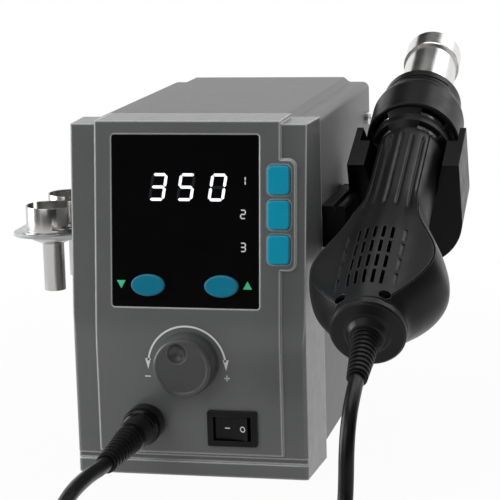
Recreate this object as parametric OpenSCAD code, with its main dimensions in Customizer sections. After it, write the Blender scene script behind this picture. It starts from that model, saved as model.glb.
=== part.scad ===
// Compact hot air rework station with its handle resting in the side holder.
// Origin: middle of the station's footprint, on the table. X to the right seen from the
// front, Y away from the viewer, Z up. Millimetres.

/* [Station body] */
// Width of the front frame
front_w = 99; // [94:1:130]
// Height of the front frame
front_h = 148.6; // [146:0.2:190]
// Depth from the front plane to the back of the cover
body_d = 175.6; // [165:0.2:230]
// Depth of the front frame
frame_d = 34; // [30:1:44]
// Wall of the moulded front frame
frame_wall = 2.6; // [2:0.1:4]
// Lean of the display part of the front, in degrees
lean = 6.7; // [0:0.1:12]
// Height of the bend between the upright and the leaning front
bend_z = 60; // [56:1:66]
// Width of the recessed strip down each side of the front
strip_w = 10.3; // [8:0.1:12]
// Thickness of the sheet steel of cover, base and rear
sheet = 1.2; // [0.8:0.1:2]
// Height that the feet stand proud of the front frame
foot_proud = 1; // [0.5:0.5:3]

/* [Window and keys] */
// Width of the display window
window_w = 62.2; // [58:0.2:66]
// Height of the display window along the leaning front
window_h = 71; // [66:0.5:74]
// Thickness of the window plate
window_t = 1.5; // [1:0.1:2]
// Width of a preset key
key_w = 9.3; // [8:0.1:10]
// Height of a preset key
key_h = 12; // [9:0.1:12.5]
// Distance between the preset keys
key_pitch = 14.1; // [13.5:0.1:16]
// Width of an oval key
oval_w = 14.3; // [12:0.1:16]
// Height of an oval key
oval_h = 9.1; // [8:0.1:10]
// How far the keys stand out
key_proud = 1.8; // [1.2:0.1:3]
// Travel of every key
key_travel = 0.8; // [0.4:0.1:1]

/* [Lower front] */
// Diameter of the knob
knob_d = 26; // [20:0.5:27]
// Height of the knob over the front
knob_h = 10.5; // [8:0.5:16]
// Diameter of the encoder shaft
shaft_d = 6; // [5:0.5:7]
// Width of the rocker switch bezel
switch_w = 21; // [20:0.5:24]
// Height of the rocker switch bezel
switch_h = 15; // [14:0.5:16]
// Angle that the rocker tips through
rocker_swing = 18; // [10:1:20]
// Thread diameter of the panel socket
socket_d = 12; // [11:0.5:13]
// Outside diameter of the plug's coupling ring
ring_d = 16.4; // [16:0.2:18]
// Length of the plug's ribbed boot
plug_boot_l = 32; // [24:1:36]

/* [Nozzles] */
// Outside diameter of a nozzle cup
cup_d = 22.4; // [20:0.1:24]
// Height of a nozzle cup
cup_h = 11.5; // [10:0.5:16]
// Wall of a nozzle
nozzle_wall = 0.6; // [0.4:0.1:0.8]
// Outlet diameter of the large nozzle
outlet_large = 9.2; // [8:0.1:11]
// Outlet diameter of the small nozzle
outlet_small = 6; // [4:0.1:7]
// Length of a nozzle outlet
outlet_l = 21; // [14:1:30]
// Distance between the two nozzles
nozzle_pitch = 31; // [28:0.5:36]
// Thickness of the nozzle rack plate
rack_t = 1.2; // [1:0.1:2]

/* [Handle] */
// Tilt of the handle above level, in degrees
tilt = 22.8; // [15:0.2:35]
// Turn of the fan housing about the handle's axis, in degrees
roll = 8.4; // [0:0.2:10]
// Length from the end cap to the front of the heater tube
handle_l = 227.8; // [215:0.2:245]
// Radius of the end cap
cap_r = 15.3; // [14:0.1:17]
// Radius of the grip
grip_r = 14.6; // [13.5:0.1:15.5]
// Half width of the fan housing
fan_half = 28.4; // [27:0.2:32]
// Wall of the handle shells
shell_wall = 2; // [1.6:0.1:2.6]
// Radius of the heater tube
tube_r = 12.1; // [11:0.1:12.5]
// Radius of the nose guard's collar
guard_r = 21; // [20:0.1:23]
// Radius of the nose guard's front
nose_r = 18; // [17:0.1:19]

/* [Holder] */
// Half width of the cradle
cradle_half = 24.5; // [22:0.1:26]
// Length of the cradle along the handle
cradle_l = 32; // [26:1:34]
// Gap between the handle and the cradle
cradle_gap = 0.4; // [0.3:0.1:1]

/* [Cord] */
// Diameter of the handle cord
cord_d = 6; // [5:0.5:7]

/* [Hidden] */

$fn = 48;
// Clearance between fitted pieces, between turning pieces, and round a screw
fit = 0.2;
turn_gap = 0.3;
screw_gap = 0.15;

grey = [0.40, 0.41, 0.41];
cover_grey = [0.52, 0.53, 0.53];
teal = [0.0, 0.42, 0.53];
black = [0.06, 0.06, 0.065];
charcoal = [0.13, 0.13, 0.135];
steel = [0.72, 0.72, 0.72];
zinc = [0.6, 0.61, 0.62];
board_green = [0.05, 0.25, 0.12];

// Station
front_y = -body_d / 2;
back_y = body_d / 2;
frame_back = front_y + frame_d;
z0 = foot_proud;
top_z = z0 + front_h;
front_half = front_w / 2;
flare = 1.8;
strip_set = 1.5;
strip_drop = 1.4;
corner_r = 1.5;
band_half = front_half - strip_w;
band_low = z0 + 10.2;
plinth_h = 6.2;
groove_h = 2.4;
groove_set = 1.4;
// The bend in the front is a gentle curve of this radius
bend_r = 120;
bend_reach = bend_r * tan(lean / 2);
bend_low = z0 + bend_z - bend_reach;

cover_half = front_half - 0.5;
cover_z = z0 + 4.3;
cover_top = top_z - 0.5;
cover_side = cover_top - 2.3;
cover_band = band_half - 2.6;
cover_r = 3;
tongue_l = 6;
tongue_t = 1.6;
pan_half = cover_half - sheet - fit;
pan_z = cover_z + 0.2;
lip_h = 14;
rear_y = back_y - 0.4 - sheet;
post_w = 15;
post_top = cover_side - sheet - 4;
foot_x = front_half - 13;
foot_y = [frame_back + 12, back_y - 16];
// Rubber feet under the base: four at the corners and one under the middle
feet_at = concat([[0, 0]], [for (x = [-foot_x, foot_x]) for (y = foot_y) [x, y]]);
screw_r = 1.5;
cover_screw_y = back_y - 10.5;
cover_screw_z = [z0 + 24, z0 + front_h - 19];
rear_screw_x = cover_half - 9;
rear_screw_z = [z0 + 11, post_top - 5];
inlet_x = 16;
inlet_z = z0 + 34;
inlet_w = 30;
inlet_h = 22.5;
rear_vent_z = z0 + 74;
rear_vent_h = 17;
rear_vent_w = 2.4;

// Window, keys and what lies behind them
key_x = band_half - 0.35;
window_free = key_x - key_w / 2 + band_half - window_w;
window_x = -band_half + 0.66 * window_free + window_w / 2;
window_z = z0 + front_h - 41;
key_z = z0 + front_h - 37.9;
key_flange = 1;
tab_w = 6.4;
tab_low = key_z - key_pitch - key_h / 2 - 2.6;
tab_high = key_z + key_pitch + key_h / 2 + 2.2;
oval_gap = 15.6;
oval_z = z0 + front_h - 67.3;
board_t = 1.6;
board_back = 14;
board_x = 3;
board_w = front_w - 15;
board_h = 74;
post_gap = 30;
switch_top = board_back - 5;
stem_end = switch_top - key_travel - 0.2;

// Lower front
knob_z = z0 + 49.3;
bush_r = 3.5;
nut_h = 1.2;
encoder_w = 12.5;
encoder_d = 8;
switch_x = 18.3;
switch_z = z0 + 21.7;
bezel = 1.6;
rocker_w = switch_w - 5;
rocker_h = switch_h - 4.6;
rocker_pin = 0.9;
socket_x = -18.5;
socket_z = z0 + 23.5;
socket_wall = 1.3;
socket_l = 7.5;
flange_t = 1;
plug_y = front_y - flange_t - fit;
ring_l = 9.8;
body_r = 6.9;
body_l = 17;
plug_end_y = plug_y - ring_l - body_l;
cord_r = cord_d / 2;
boot_lip = 1.1;

// Power electronics
power_z = pan_z + 9;
power_w = 80;
power_l = 92;
power_y = frame_back + 14;

// Nozzle rack
rack_z = z0 + 97;
nozzle_x = -front_half - 16.4;
nozzle_y = front_y + 30;
rack_left = nozzle_x - cup_d / 2 - 5.9;
rack_front = nozzle_y - cup_d / 2 - 2.4;
rack_back = nozzle_y + nozzle_pitch + cup_d / 2 + 2.4;
rack_corner = 14;
rack_flange = 16;
rack_wall = -cover_half;
rack_side = -front_half - flare - fit;
dome_r = cup_d / 2 - 1.1;
rack_screw_y = [frame_back + 8, rack_back - 8];
rack_screw_z = rack_z - 9;

// Handle: distances along its axis from the end cap
handle_side = 30.1;
handle_x = front_half + handle_side;
end_y = front_y - 25.1;
end_z = z0 + 69.4;
cap_back = 3.8;
hub_l = 3.4;
spigot_r = cap_r - shell_wall - 0.2;
spigot_end = 9;
boot_l = 25;
// Fan housing: widest station, middle of the fan, radius and underside of the fan
fan_s = 30;
fan_mid = 34;
fan_r = 19;
fan_low = -13;
// Level of the leaf rim over the axis, and half width of the rim at the cap, fan and grip
rim_z = 12.4;
rim_cap = 8.9;
rim_fan = 25.9;
rim_grip = 14.9;
rim_peak = 33;
shell_start = 4;
shell_end = 134.4;
basket_ring = 136.8;
basket_ring_l = 4.6;
guard_s = 144.5;
guard_l = 37;
guard_wall = 1.8;
basket_r = (grip_r + guard_r - guard_wall) / 2 + 0.5;
window_turn = 41;
collar_l = 12.5;
tube_wall = 0.6;
tube_start = shell_end - 24;
handle_screw_x = 9;
handle_screw_s = 6.7;
handle_screw_h = 7;
recess_r = 2.4;
vent_first = 12.5;
vent_step = 10.4;
vent_l = 8.5;
vent_w = 1.5;
vent_turn = 12.33;
inlet_l = 22;
groove_depth = 0.9;
groove_start = 69;
groove_end = 131;
shell_steps = 30;
// Angle that each shell's edge keeps from the parting line
seam = 0.25;

// Holder
cradle_s = guard_s - 0.4 - cradle_l;
cradle_top = 8.6;
cradle_drop = 20;
cradle_flare = 2.4;
// Level arm between the cover and the cradle
arm_front = end_y + cradle_s * cos(tilt) - 38.4;
arm_l = 58;
arm_top = end_z + cradle_s * sin(tilt) - 4.2;
arm_h = 17.6;
arm_side = 11.2;
arm_screw_y = [arm_front + 10, arm_front + arm_l - 8];

// Height of the leaning face behind the front plane at a given height
function lean_y(z) = let (up = z - bend_low)
    up < 0 ? 0 : up < 2 * bend_reach ? up * up / (4 * bend_reach) * tan(lean)
    : (up - bend_reach) * tan(lean);
// Side view of the front between two heights, set back by a distance
function face_line(back, low, high) = [for (z = concat([low],
        [for (i = [0:6]) let (z = bend_low + i * bend_reach / 3) if (z > low && z < high) z],
        [high])) [front_y + back + lean_y(z), z]];
function reversed(list) = [for (i = [len(list) - 1:-1:0]) list[i]];
function mirrored(list) = [for (p = reversed(list)) [-p[0], p[1]]];
// Outline of a rectangle with round corners
function rounded(w, h, r) = [for (c = [0:3]) for (a = [0:5])
    let (sx = (c == 0 || c == 3) ? 1 : -1, sy = c < 2 ? 1 : -1, t = 90 * c + 18 * a)
    [sx * (w / 2 - r) + r * cos(t), sy * (h / 2 - r) + r * sin(t)]];
function oval(w, h) = [for (a = [0:10:350]) [w / 2 * cos(a), h / 2 * sin(a)]];
// Smooth step from 0 to 1 between a and b
function ease(x, a, b) = let (t = max(0, min(1, (x - a) / (b - a)))) t * t * (3 - 2 * t);

// Extrudes a side view drawn in Y and Z along X
module along_x(x1, x2) {
    translate([x1, 0, 0]) rotate([90, 0, 90]) linear_extrude(x2 - x1) children();
}
// Places something on the leaning front: X across, Z up the face, -Y outwards
module on_front(x, z) {
    translate([x, front_y + lean_y(z), z]) rotate([-lean, 0, 0]) children();
}
// Extrudes a view drawn in X and Z from y1 to y2
module along_y(y1, y2) {
    translate([0, y2, 0]) rotate([90, 0, 0]) linear_extrude(y2 - y1) children();
}
module slab(w, h, r, y1, y2) {
    along_y(y1, y2) polygon(rounded(w, h, r));
}
module oval_slab(w, h, y1, y2) {
    along_y(y1, y2) polygon(oval(w, h));
}
module bar_y(r, y1, y2) {
    translate([0, y2, 0]) rotate([90, 0, 0]) cylinder(r = r, h = y2 - y1);
}
// Pan-head screw along Z: head over 0, shank below
module screw(head_r, head_h, r, l) {
    difference() {
        rotate_extrude() polygon([[0, 0], [head_r, 0], [head_r, head_h * 0.6],
            [head_r * 0.75, head_h * 0.92], [0, head_h]]);
        for (a = [0, 90]) rotate([0, 0, a]) translate([0, 0, head_h])
            cube([head_r * 1.1, 0.8, head_h * 0.9], center = true);
    }
    translate([0, 0, -l]) cylinder(r = r, h = l);
}

// Plan of the front frame: narrow at the face, wider at the back, with eased front corners
function frame_plan(inset, over) = let (h = front_half - inset, f = front_y + strip_set + inset,
        front = [for (a = [0:15:90]) [h - corner_r * (1 - sin(a)), f + corner_r * (1 - cos(a))]])
    concat(front, [[h + flare, frame_back + over], [-h - flare, frame_back + over]], mirrored(front));
module frame_block(inset, low, over) {
    top = top_z - inset;
    intersection() {
        translate([0, 0, low]) linear_extrude(top - low) polygon(frame_plan(inset, over));
        along_x(-front_half - 5, front_half + 5)
            polygon(concat(face_line(strip_set + inset, low, top - strip_drop),
                [[frame_back + over, top - strip_drop], [frame_back + over, low]]));
    }
    along_x(-band_half + inset, band_half - inset)
        polygon(concat(face_line(inset, band_low + inset, top),
            [[frame_back + over, top], [frame_back + over, band_low + inset]]));
}
module key_tab() {
    intersection() {
        along_x(band_half - tab_w, band_half + tab_w) polygon(concat(face_line(0, tab_low, tab_high),
            reversed(face_line(strip_set + 0.5, tab_low, tab_high))));
        translate([band_half, front_y, (tab_low + tab_high) / 2])
            slab(2 * tab_w, tab_high - tab_low, 3, -1, frame_d);
    }
}
module front_frame() {
    color(grey) difference() {
        union() {
            difference() {
                union() {
                    frame_block(0, z0, 0);
                    key_tab();
                }
                frame_block(frame_wall, z0 + plinth_h + 0.8, 1);
            }
            // Shoulder and tongue that enter the cover
            intersection() {
                frame_block(0, z0, 0);
                translate([0, frame_back - 2.5, 0]) difference() {
                    cover_tube(-3, 2.5, pan_z + lip_h + 1);
                    translate([0, -1, 0]) cover_tube(sheet + fit + tongue_t, 5, pan_z);
                }
            }
            translate([0, frame_back - 1, 0]) difference() {
                cover_tube(sheet + fit, tongue_l + 1, pan_z + lip_h + 1);
                translate([0, -1, 0]) cover_tube(sheet + fit + tongue_t, tongue_l + 3, pan_z);
            }
            // Posts for the control board
            for (x = [-post_gap, post_gap]) for (z = [-post_gap, post_gap])
                on_front(window_x + x, window_z + z) bar_y(2.4, frame_wall - 0.5, board_back);
        }
        // Window recess and the opening for the display
        on_front(window_x, window_z) {
            slab(window_w + 2 * fit, window_h + 2 * fit, 1.2, -1, window_t);
            translate([0, 0, 8]) slab(window_w - 8, window_h - 21, 1, -1, frame_wall + 1);
        }
        for (s = [-1, 1]) on_front(window_x + s * oval_gap, oval_z)
            oval_slab(oval_w + 2 * fit, oval_h + 2 * fit, -1, frame_wall + 1);
        for (i = [-1:1]) on_front(key_x, key_z + i * key_pitch)
            slab(key_w + 2 * fit, key_h + 2 * fit, 2.2, -1, frame_wall + 1);
        on_front(key_x, key_z) slab(key_w + 3.4, 3 * key_pitch + 2, 1, frame_wall, frame_wall + 5);
        // Groove over the plinth
        translate([-front_w, front_y - 1, z0 + plinth_h])
            cube([2 * front_w, 1 + strip_set + groove_set, groove_h]);
        // Holes for encoder bush, rocker switch and panel socket
        translate([0, front_y, knob_z]) bar_y(bush_r + fit, -1, 5);
        translate([switch_x, front_y, switch_z])
            slab(switch_w - 2 + 2 * fit, switch_h - 2 + 2 * fit, 0.5, -1, 5);
        translate([socket_x, front_y, socket_z]) bar_y(socket_d / 2 + fit, -1, 5);
    }
}
module display_window() {
    color(black) on_front(window_x, window_z) difference() {
        slab(window_w, window_h, 1, 0, window_t);
        for (s = [-1, 1]) translate([s * oval_gap, 0, (oval_z - window_z) / cos(lean)])
            oval_slab(oval_w + 2 * fit, oval_h + 2 * fit, -1, window_t + 1);
    }
}

// Section of the cover, set in by a distance, with its lower edge at a given height
function cover_line(inset, low) = let (h = cover_half - inset, r = max(0.6, cover_r - inset),
        side = cover_side - inset, top = cover_top - inset, b = cover_band - inset / 2)
    concat([[h, low]], [for (a = [0:22.5:90]) [h - r + r * cos(a), side - r + r * sin(a)]],
        [[b + 3.4, side], [b + 2.6, side + 0.3], [b + 0.6, top - 0.3], [b, top]]);
module cover_tube(inset, l, low) {
    half = cover_line(inset, low);
    along_y(0, l) polygon(concat(half, mirrored(half)));
}
module top_cover() {
    l = back_y - frame_back;
    color(cover_grey) difference() {
        translate([0, frame_back, 0]) cover_tube(0, l, cover_z);
        translate([0, frame_back - 1, 0]) cover_tube(sheet, l + 2, cover_z - 1);
        for (z = cover_screw_z) translate([-front_w, cover_screw_y, z]) rotate([0, 90, 0])
            cylinder(r = screw_r + screw_gap, h = 2 * front_w);
        for (y = rack_screw_y) translate([rack_wall, y, rack_screw_z]) rotate([0, 90, 0])
            cylinder(r = screw_r + screw_gap, h = 8, center = true);
        holder_screw_places() cylinder(r = screw_r + screw_gap, h = 8, center = true);
    }
}
module base_pan() {
    color(zinc) difference() {
        union() {
            difference() {
                translate([-pan_half, frame_back, pan_z]) cube([2 * pan_half, rear_y - frame_back, lip_h]);
                translate([-pan_half + sheet, frame_back - 1, pan_z + sheet])
                    cube([2 * (pan_half - sheet), rear_y - sheet - frame_back + 1, lip_h]);
            }
            // Corner posts that take the cover screws and the rear screws
            for (s = [-1, 1]) translate([s * pan_half, rear_y, pan_z]) mirror([s > 0 ? 1 : 0, 0, 0]) {
                translate([0, -post_w, 0]) cube([sheet, post_w, post_top - pan_z]);
                translate([0, -sheet, 0]) cube([post_w, sheet, post_top - pan_z]);
            }
        }
        for (p = feet_at) translate([p[0], p[1], 0]) cylinder(r = 2, h = 20);
        for (i = [-4:4]) translate([i * 6 - 1, 16, 0]) cube([2, 30, 12]);
        for (z = cover_screw_z) translate([-front_w, cover_screw_y, z]) rotate([0, 90, 0])
            cylinder(r = screw_r + screw_gap, h = 2 * front_w);
        for (s = [-1, 1]) for (z = rear_screw_z) translate([s * rear_screw_x, rear_y, z])
            bar_y(screw_r + screw_gap, -5, 5);
    }
}
module rear_panel() {
    half = cover_line(sheet + fit, pan_z);
    color(cover_grey) difference() {
        along_y(rear_y, rear_y + sheet) polygon(concat(half, mirrored(half)));
        translate([inlet_x, rear_y, inlet_z]) slab(inlet_w - 3 + 2 * fit, inlet_h - 3 + 2 * fit, 2, -5, 5);
        for (r = [0:2]) for (c = [-6:6]) translate([c * 6, rear_y, rear_vent_z + r * (rear_vent_h + 5)])
            slab(rear_vent_w, rear_vent_h, rear_vent_w * 0.45, -5, 5);
        for (s = [-1, 1]) for (z = rear_screw_z) translate([s * rear_screw_x, rear_y, z])
            bar_y(screw_r + screw_gap, -5, 5);
    }
}
module rear_screws() {
    color(steel) for (s = [-1, 1]) for (z = rear_screw_z)
        translate([s * rear_screw_x, rear_y + sheet, z]) rotate([-90, 0, 0]) screw(2.9, 1.9, screw_r, 7);
}
module cover_screws() {
    color(steel) for (s = [0, 1]) mirror([s, 0, 0]) for (z = cover_screw_z)
        translate([cover_half, cover_screw_y, z]) rotate([0, 90, 0]) screw(3, 2.4, screw_r, 5);
}
module feet() {
    color(black) {
        for (p = feet_at) translate([p[0], p[1], 0]) {
            rotate_extrude() polygon([[0, 0], [5.4, 0], [6, pan_z], [0, pan_z]]);
            cylinder(r = 1.8, h = pan_z + sheet + 2);
            translate([0, 0, pan_z + sheet]) cylinder(r = 3, h = 1.5);
        }
        for (s = [-1, 1]) translate([s * foot_x, front_y + 20, 0]) cylinder(r = 6, h = z0);
    }
}

// Board with its display and key switches behind the front
module control_board() {
    color(board_green) on_front(window_x, window_z) difference() {
        translate([board_x, 0, 0]) slab(board_w, board_h, 2, board_back, board_back + board_t);
        for (x = [-post_gap, post_gap]) for (z = [-post_gap, post_gap]) translate([x, 0, z])
            bar_y(1.1, board_back - 2, board_back + 4);
    }
}
module display_module() {
    color(black) on_front(window_x, window_z) translate([0, 0, 14])
        slab(46, 20, 0.6, window_t + 0.1, board_back);
}
module key_switches() {
    module one() {
        translate([0, board_back - 1.75, 0]) cube([6, 3.5, 6], center = true);
        bar_y(1.7, switch_top, board_back - 3.4);
    }
    color(charcoal) {
        for (i = [-1:1]) on_front(key_x, key_z + i * key_pitch) one();
        for (s = [-1, 1]) on_front(window_x + s * oval_gap, oval_z) one();
    }
}
// Key: cap with an eased edge, retaining flange behind the front wall, and stem
module preset_key(i) {
    color(teal) on_front(key_x, key_z + i * key_pitch) {
        slab(key_w - 0.8, key_h - 0.8, 1.7, -key_proud, 0);
        slab(key_w, key_h, 2, -key_proud + 0.5, frame_wall + 0.1);
        slab(key_w + 1.6, key_h + 1, 1, frame_wall + 0.05, frame_wall + 0.05 + key_flange);
        bar_y(1.6, frame_wall, stem_end);
    }
}
module oval_key(s) {
    color(teal) on_front(window_x + s * oval_gap, oval_z) {
        oval_slab(oval_w - 0.8, oval_h - 0.8, -key_proud, 0);
        oval_slab(oval_w, oval_h, -key_proud + 0.5, frame_wall + 0.1);
        oval_slab(oval_w + 3, oval_h + 2, frame_wall + 0.05, frame_wall + 0.05 + key_flange);
        bar_y(1.6, frame_wall, stem_end);
    }
}

// Knob, shaft and encoder
module encoder_body() {
    color(steel) translate([0, front_y, knob_z]) difference() {
        union() {
            bar_y(bush_r, -nut_h - 0.4, frame_wall + 1);
            along_y(frame_wall + 0.1, frame_wall + encoder_d) square(encoder_w, center = true);
            bar_y(bush_r + 1.9, -nut_h, 0);
        }
        bar_y(shaft_d / 2 + 0.05, -5, frame_wall + encoder_d - 1);
    }
}
module knob_shaft() {
    color(steel) translate([0, front_y, knob_z])
        bar_y(shaft_d / 2, -knob_h + 3, frame_wall + encoder_d - 1.5);
}
module knob() {
    r = knob_d / 2;
    color(charcoal) translate([0, front_y, knob_z]) rotate([90, 0, 0]) difference() {
        rotate_extrude($fn = 72) polygon([[shaft_d / 2, nut_h + 1], [bush_r + 3.1, nut_h + 1],
            [bush_r + 3.1, 0.6], [r, 0.6], [r - 0.5, knob_h - 1.6], [r - 0.9, knob_h - 0.6],
            [r - 1.5, knob_h - 0.1], [r - 2.2, knob_h], [r - 2.8, knob_h - 0.35],
            [0, knob_h - 0.35], [0, knob_h - 3], [shaft_d / 2, knob_h - 3]]);
        // Finger dimple
        translate([-0.15 * r, 0.465 * r, knob_h + 2.2]) sphere(r = 4.9, $fn = 48);
    }
}

// Rocker switch: the rocker tips about an upright pin
module switch_housing() {
    color(black) translate([switch_x, front_y, switch_z]) difference() {
        union() {
            slab(switch_w, switch_h, 0.8, -bezel, 0);
            slab(switch_w - 2, switch_h - 2, 0.4, -0.5, 12);
            for (x = [-5, 0, 5]) translate([x, 15, 0]) cube([0.8, 8, 4.7], center = true);
        }
        slab(rocker_w, rocker_h, 0.4, -bezel - 1, 5.6);
        translate([0, 2, 0]) cylinder(r = rocker_pin + 0.15, h = rocker_h + 2.2, center = true);
    }
}
module rocker() {
    half = rocker_w / 2 - turn_gap;
    color(black) translate([switch_x, front_y + 2, switch_z]) rotate([0, 0, -rocker_swing / 2]) {
        linear_extrude(rocker_h - 2 * turn_gap, center = true)
            polygon([[-half + 0.6, -2.9], [-half * 0.5, -2.2], [0, -1.9], [half * 0.5, -2.2],
                [half - 0.6, -2.9], [half - 1.6, -0.4], [2.4, 1.6], [1, 2.6], [-1, 2.6], [-2.4, 1.6],
                [-half + 1.6, -0.4]]);
        cylinder(r = rocker_pin, h = rocker_h + 1.8, center = true);
    }
}

// Panel socket and the plug screwed onto it, pointing to the viewer
module panel_socket() {
    color(steel) translate([socket_x, front_y, socket_z]) difference() {
        union() {
            bar_y(socket_d / 2, -socket_l, 9);
            translate([0, frame_wall + 2.3, 0]) rotate([90, 0, 0]) cylinder(r = 8.5, h = 2.2, $fn = 6);
            bar_y(7.6, -flange_t, 0);
            for (a = [0:72:288]) rotate([0, a, 0]) translate([3.2, 11.4, 0]) bar_y(0.6, -3, 1.6);
        }
        bar_y(socket_d / 2 - socket_wall, -socket_l - 1, -1);
    }
}
module plug_ring() {
    r = ring_d / 2;
    bore = socket_d / 2 + turn_gap;
    lip = socket_d / 2 - 0.6;
    color(black) translate([socket_x, plug_y, socket_z]) rotate([90, 0, 0])
        rotate_extrude($fn = 64) polygon([[bore, 0], [r - 0.5, 0], [r, 0.6], [r, ring_l - 2.4],
            [r - 0.7, ring_l - 0.6], [r - 1.9, ring_l], [lip, ring_l], [lip, ring_l - 1.6],
            [bore, ring_l - 1.6]]);
}
module plug_body() {
    nose = socket_d / 2 - socket_wall - fit;
    neck = socket_d / 2 - 0.6 - turn_gap;
    mouth = socket_l - flange_t;
    color(black) translate([socket_x, plug_y, socket_z]) rotate([90, 0, 0])
        rotate_extrude($fn = 64) polygon([[0, 2.5], [nose, 2.5], [nose, mouth + 0.2],
            [socket_d / 2 - 0.1, mouth + 0.2], [socket_d / 2 - 0.1, ring_l - 1.9], [neck, ring_l - 1.9],
            [neck, ring_l + 0.3], [body_r, ring_l + 0.7], [body_r, ring_l + 2.6],
            [body_r - 0.4, ring_l + 3], [body_r - 0.4, ring_l + body_l - 2.4],
            [body_r - 1.1, ring_l + body_l - 0.5], [body_r - 1.7, ring_l + body_l],
            [0, ring_l + body_l]]);
}
// Tapered ribbed boot along Z that ends on the cord
module boot(l, r1, r2, ribs) {
    rotate_extrude() polygon(concat([[0, 0]],
        [for (i = [0:ribs - 1]) for (k = [[0, 0], [0.5, 0], [0.56, 0.9], [0.94, 0.9]])
            let (t = (i + k[0]) / ribs) [r1 + (r2 - r1) * t - k[1], l * t]],
        [[r2, l], [0, l]]));
}
module plug_boot() {
    color(black) translate([socket_x, plug_end_y, socket_z]) rotate([90, 0, 0])
        boot(plug_boot_l, 5.9, cord_r + boot_lip, 9);
}

// Power electronics on the base
module power_board() {
    color(board_green) translate([-power_w / 2, power_y, power_z]) difference() {
        cube([power_w, power_l, board_t]);
        for (x = [4, power_w - 4]) for (y = [4, power_l - 4]) translate([x, y, -1]) cylinder(r = 1.6, h = 4);
    }
    color(zinc) for (x = [4, power_w - 4]) for (y = [4, power_l - 4])
        translate([x - power_w / 2, power_y + y, pan_z + sheet]) {
            cylinder(r = 2.6, h = power_z - pan_z - sheet);
            cylinder(r = 1.4, h = power_z - pan_z - sheet + board_t + 1.5);
        }
}
module power_parts() {
    color(zinc) translate([-34, power_y + 22, power_z + board_t]) {
        cube([32, 27, 24]);
        for (y = [42, 56]) translate([8, y, 0]) cylinder(r = 6, h = 20);
        translate([42, 48, 0]) cube([17, 12, 14]);
        for (x = [40, 54]) translate([x, 14, 0]) cube([10, 4.4, 19]);
    }
}
module heat_sink() {
    color(steel) translate([2, power_y + 40.4, power_z + board_t]) {
        cube([32, 3, 30]);
        for (i = [0:6]) translate([i * 5 + 0.2, 3, 0]) cube([1.4, 12, 30]);
    }
}
module mains_inlet() {
    color(black) translate([inlet_x, rear_y + sheet, inlet_z]) difference() {
        union() {
            slab(inlet_w, inlet_h, 3, 0, 2.4);
            slab(inlet_w - 3, inlet_h - 3, 1.8, -18, 0.5);
        }
        slab(inlet_w - 6, inlet_h - 6, 3.5, -14, 4);
    }
    color(steel) translate([inlet_x, rear_y + sheet, inlet_z])
        for (p = [[-7, 0], [7, 0], [0, 3]]) translate([p[0], -9, p[1]]) cube([2, 14, 4], center = true);
}

// Nozzle rack on the left side: a plate with two holes, its flange screwed to the cover
module nozzle_rack() {
    r = rack_corner;
    color([0.78, 0.79, 0.8]) difference() {
        union() {
            translate([0, 0, rack_z]) linear_extrude(rack_t) polygon(concat(
                [[rack_side, rack_front]],
                [for (a = [270:-10:180]) [rack_left + r + r * cos(a), rack_front + r + r * sin(a)]],
                [for (a = [180:-10:90]) [rack_left + r + r * cos(a), rack_back - r + r * sin(a)]],
                [[rack_wall, rack_back], [rack_wall, frame_back + 0.5], [rack_side, frame_back + 0.5]]));
            translate([rack_wall - rack_t, frame_back + 0.5, rack_z - rack_flange])
                cube([rack_t, rack_back - frame_back - 0.5, rack_flange + 0.5]);
        }
        for (i = [0, 1]) translate([nozzle_x, nozzle_y + i * nozzle_pitch, rack_z - 1])
            cylinder(r = dome_r + fit, h = 10);
        for (y = rack_screw_y) translate([rack_wall, y, rack_screw_z]) rotate([0, 90, 0])
            cylinder(r = screw_r + screw_gap, h = 8, center = true);
    }
}
module rack_screws() {
    color(steel) for (y = rack_screw_y) translate([rack_wall - rack_t, y, rack_screw_z])
        rotate([0, -90, 0]) screw(2.8, 2, screw_r, 5);
}
// Nozzle hanging in the rack: cup up, outlet down, rim of the cup's floor on the plate
module nozzle(outlet_d, i) {
    r = cup_d / 2;
    t = nozzle_wall;
    o = outlet_d / 2;
    color(steel) translate([nozzle_x, nozzle_y + i * nozzle_pitch, rack_z + rack_t]) difference() {
        rotate_extrude($fn = 64) polygon([[o, -4.6 - outlet_l], [o, -5.2], [o + 1, -4.6],
            [dome_r - 2, -3.6], [dome_r - 0.4, -2.4], [dome_r, -1], [dome_r, 0], [r + 1.9, 0],
            [r + 1.9, t], [r, t + 0.4], [r, cup_h], [r - t, cup_h], [r - t, t + 0.6], [dome_r - t, t],
            [dome_r - t, -1], [dome_r - 0.8 - t, -2.1], [dome_r - 2 - t, -3], [o + 1 - t, -4],
            [o - t, -4.8], [o - t, -4.6 - outlet_l]]);
        // Bayonet slots: down from the rim, then round
        for (a = [130, 310]) rotate([0, 0, a]) along_x(r - 4, r + 4) polygon([[-1.1, cup_h + 1],
            [-1.1, 2.3], [5.4, 2.3], [5.4, 4.5], [1.1, 4.5], [1.1, cup_h + 1]]);
    }
}

// Handle frame: Y runs from the end cap to the hot end, Z out of the cradle
module at_handle() {
    translate([handle_x, end_y, end_z]) rotate([tilt, 0, 0]) children();
}
module rolled() {
    rotate([0, -roll, 0]) children();
}
// Turns a profile of radius and distance into a solid round the handle's axis
module turned(points) {
    rotate([-90, 0, 0]) rotate_extrude($fn = 72) polygon(points);
}
// Round core of the handle: dome over the fan, then the grip
function core_r(s) = cap_r + 1.5 * ease(s, 5, 20) + (grip_r - cap_r - 1.5) * ease(s, 45, 88);
// Share of the full depth that the fan housing has at a station
function bowl_share(s) = ease(s, 0, fan_s) * (1 - ease(s, 50, 100));
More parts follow.
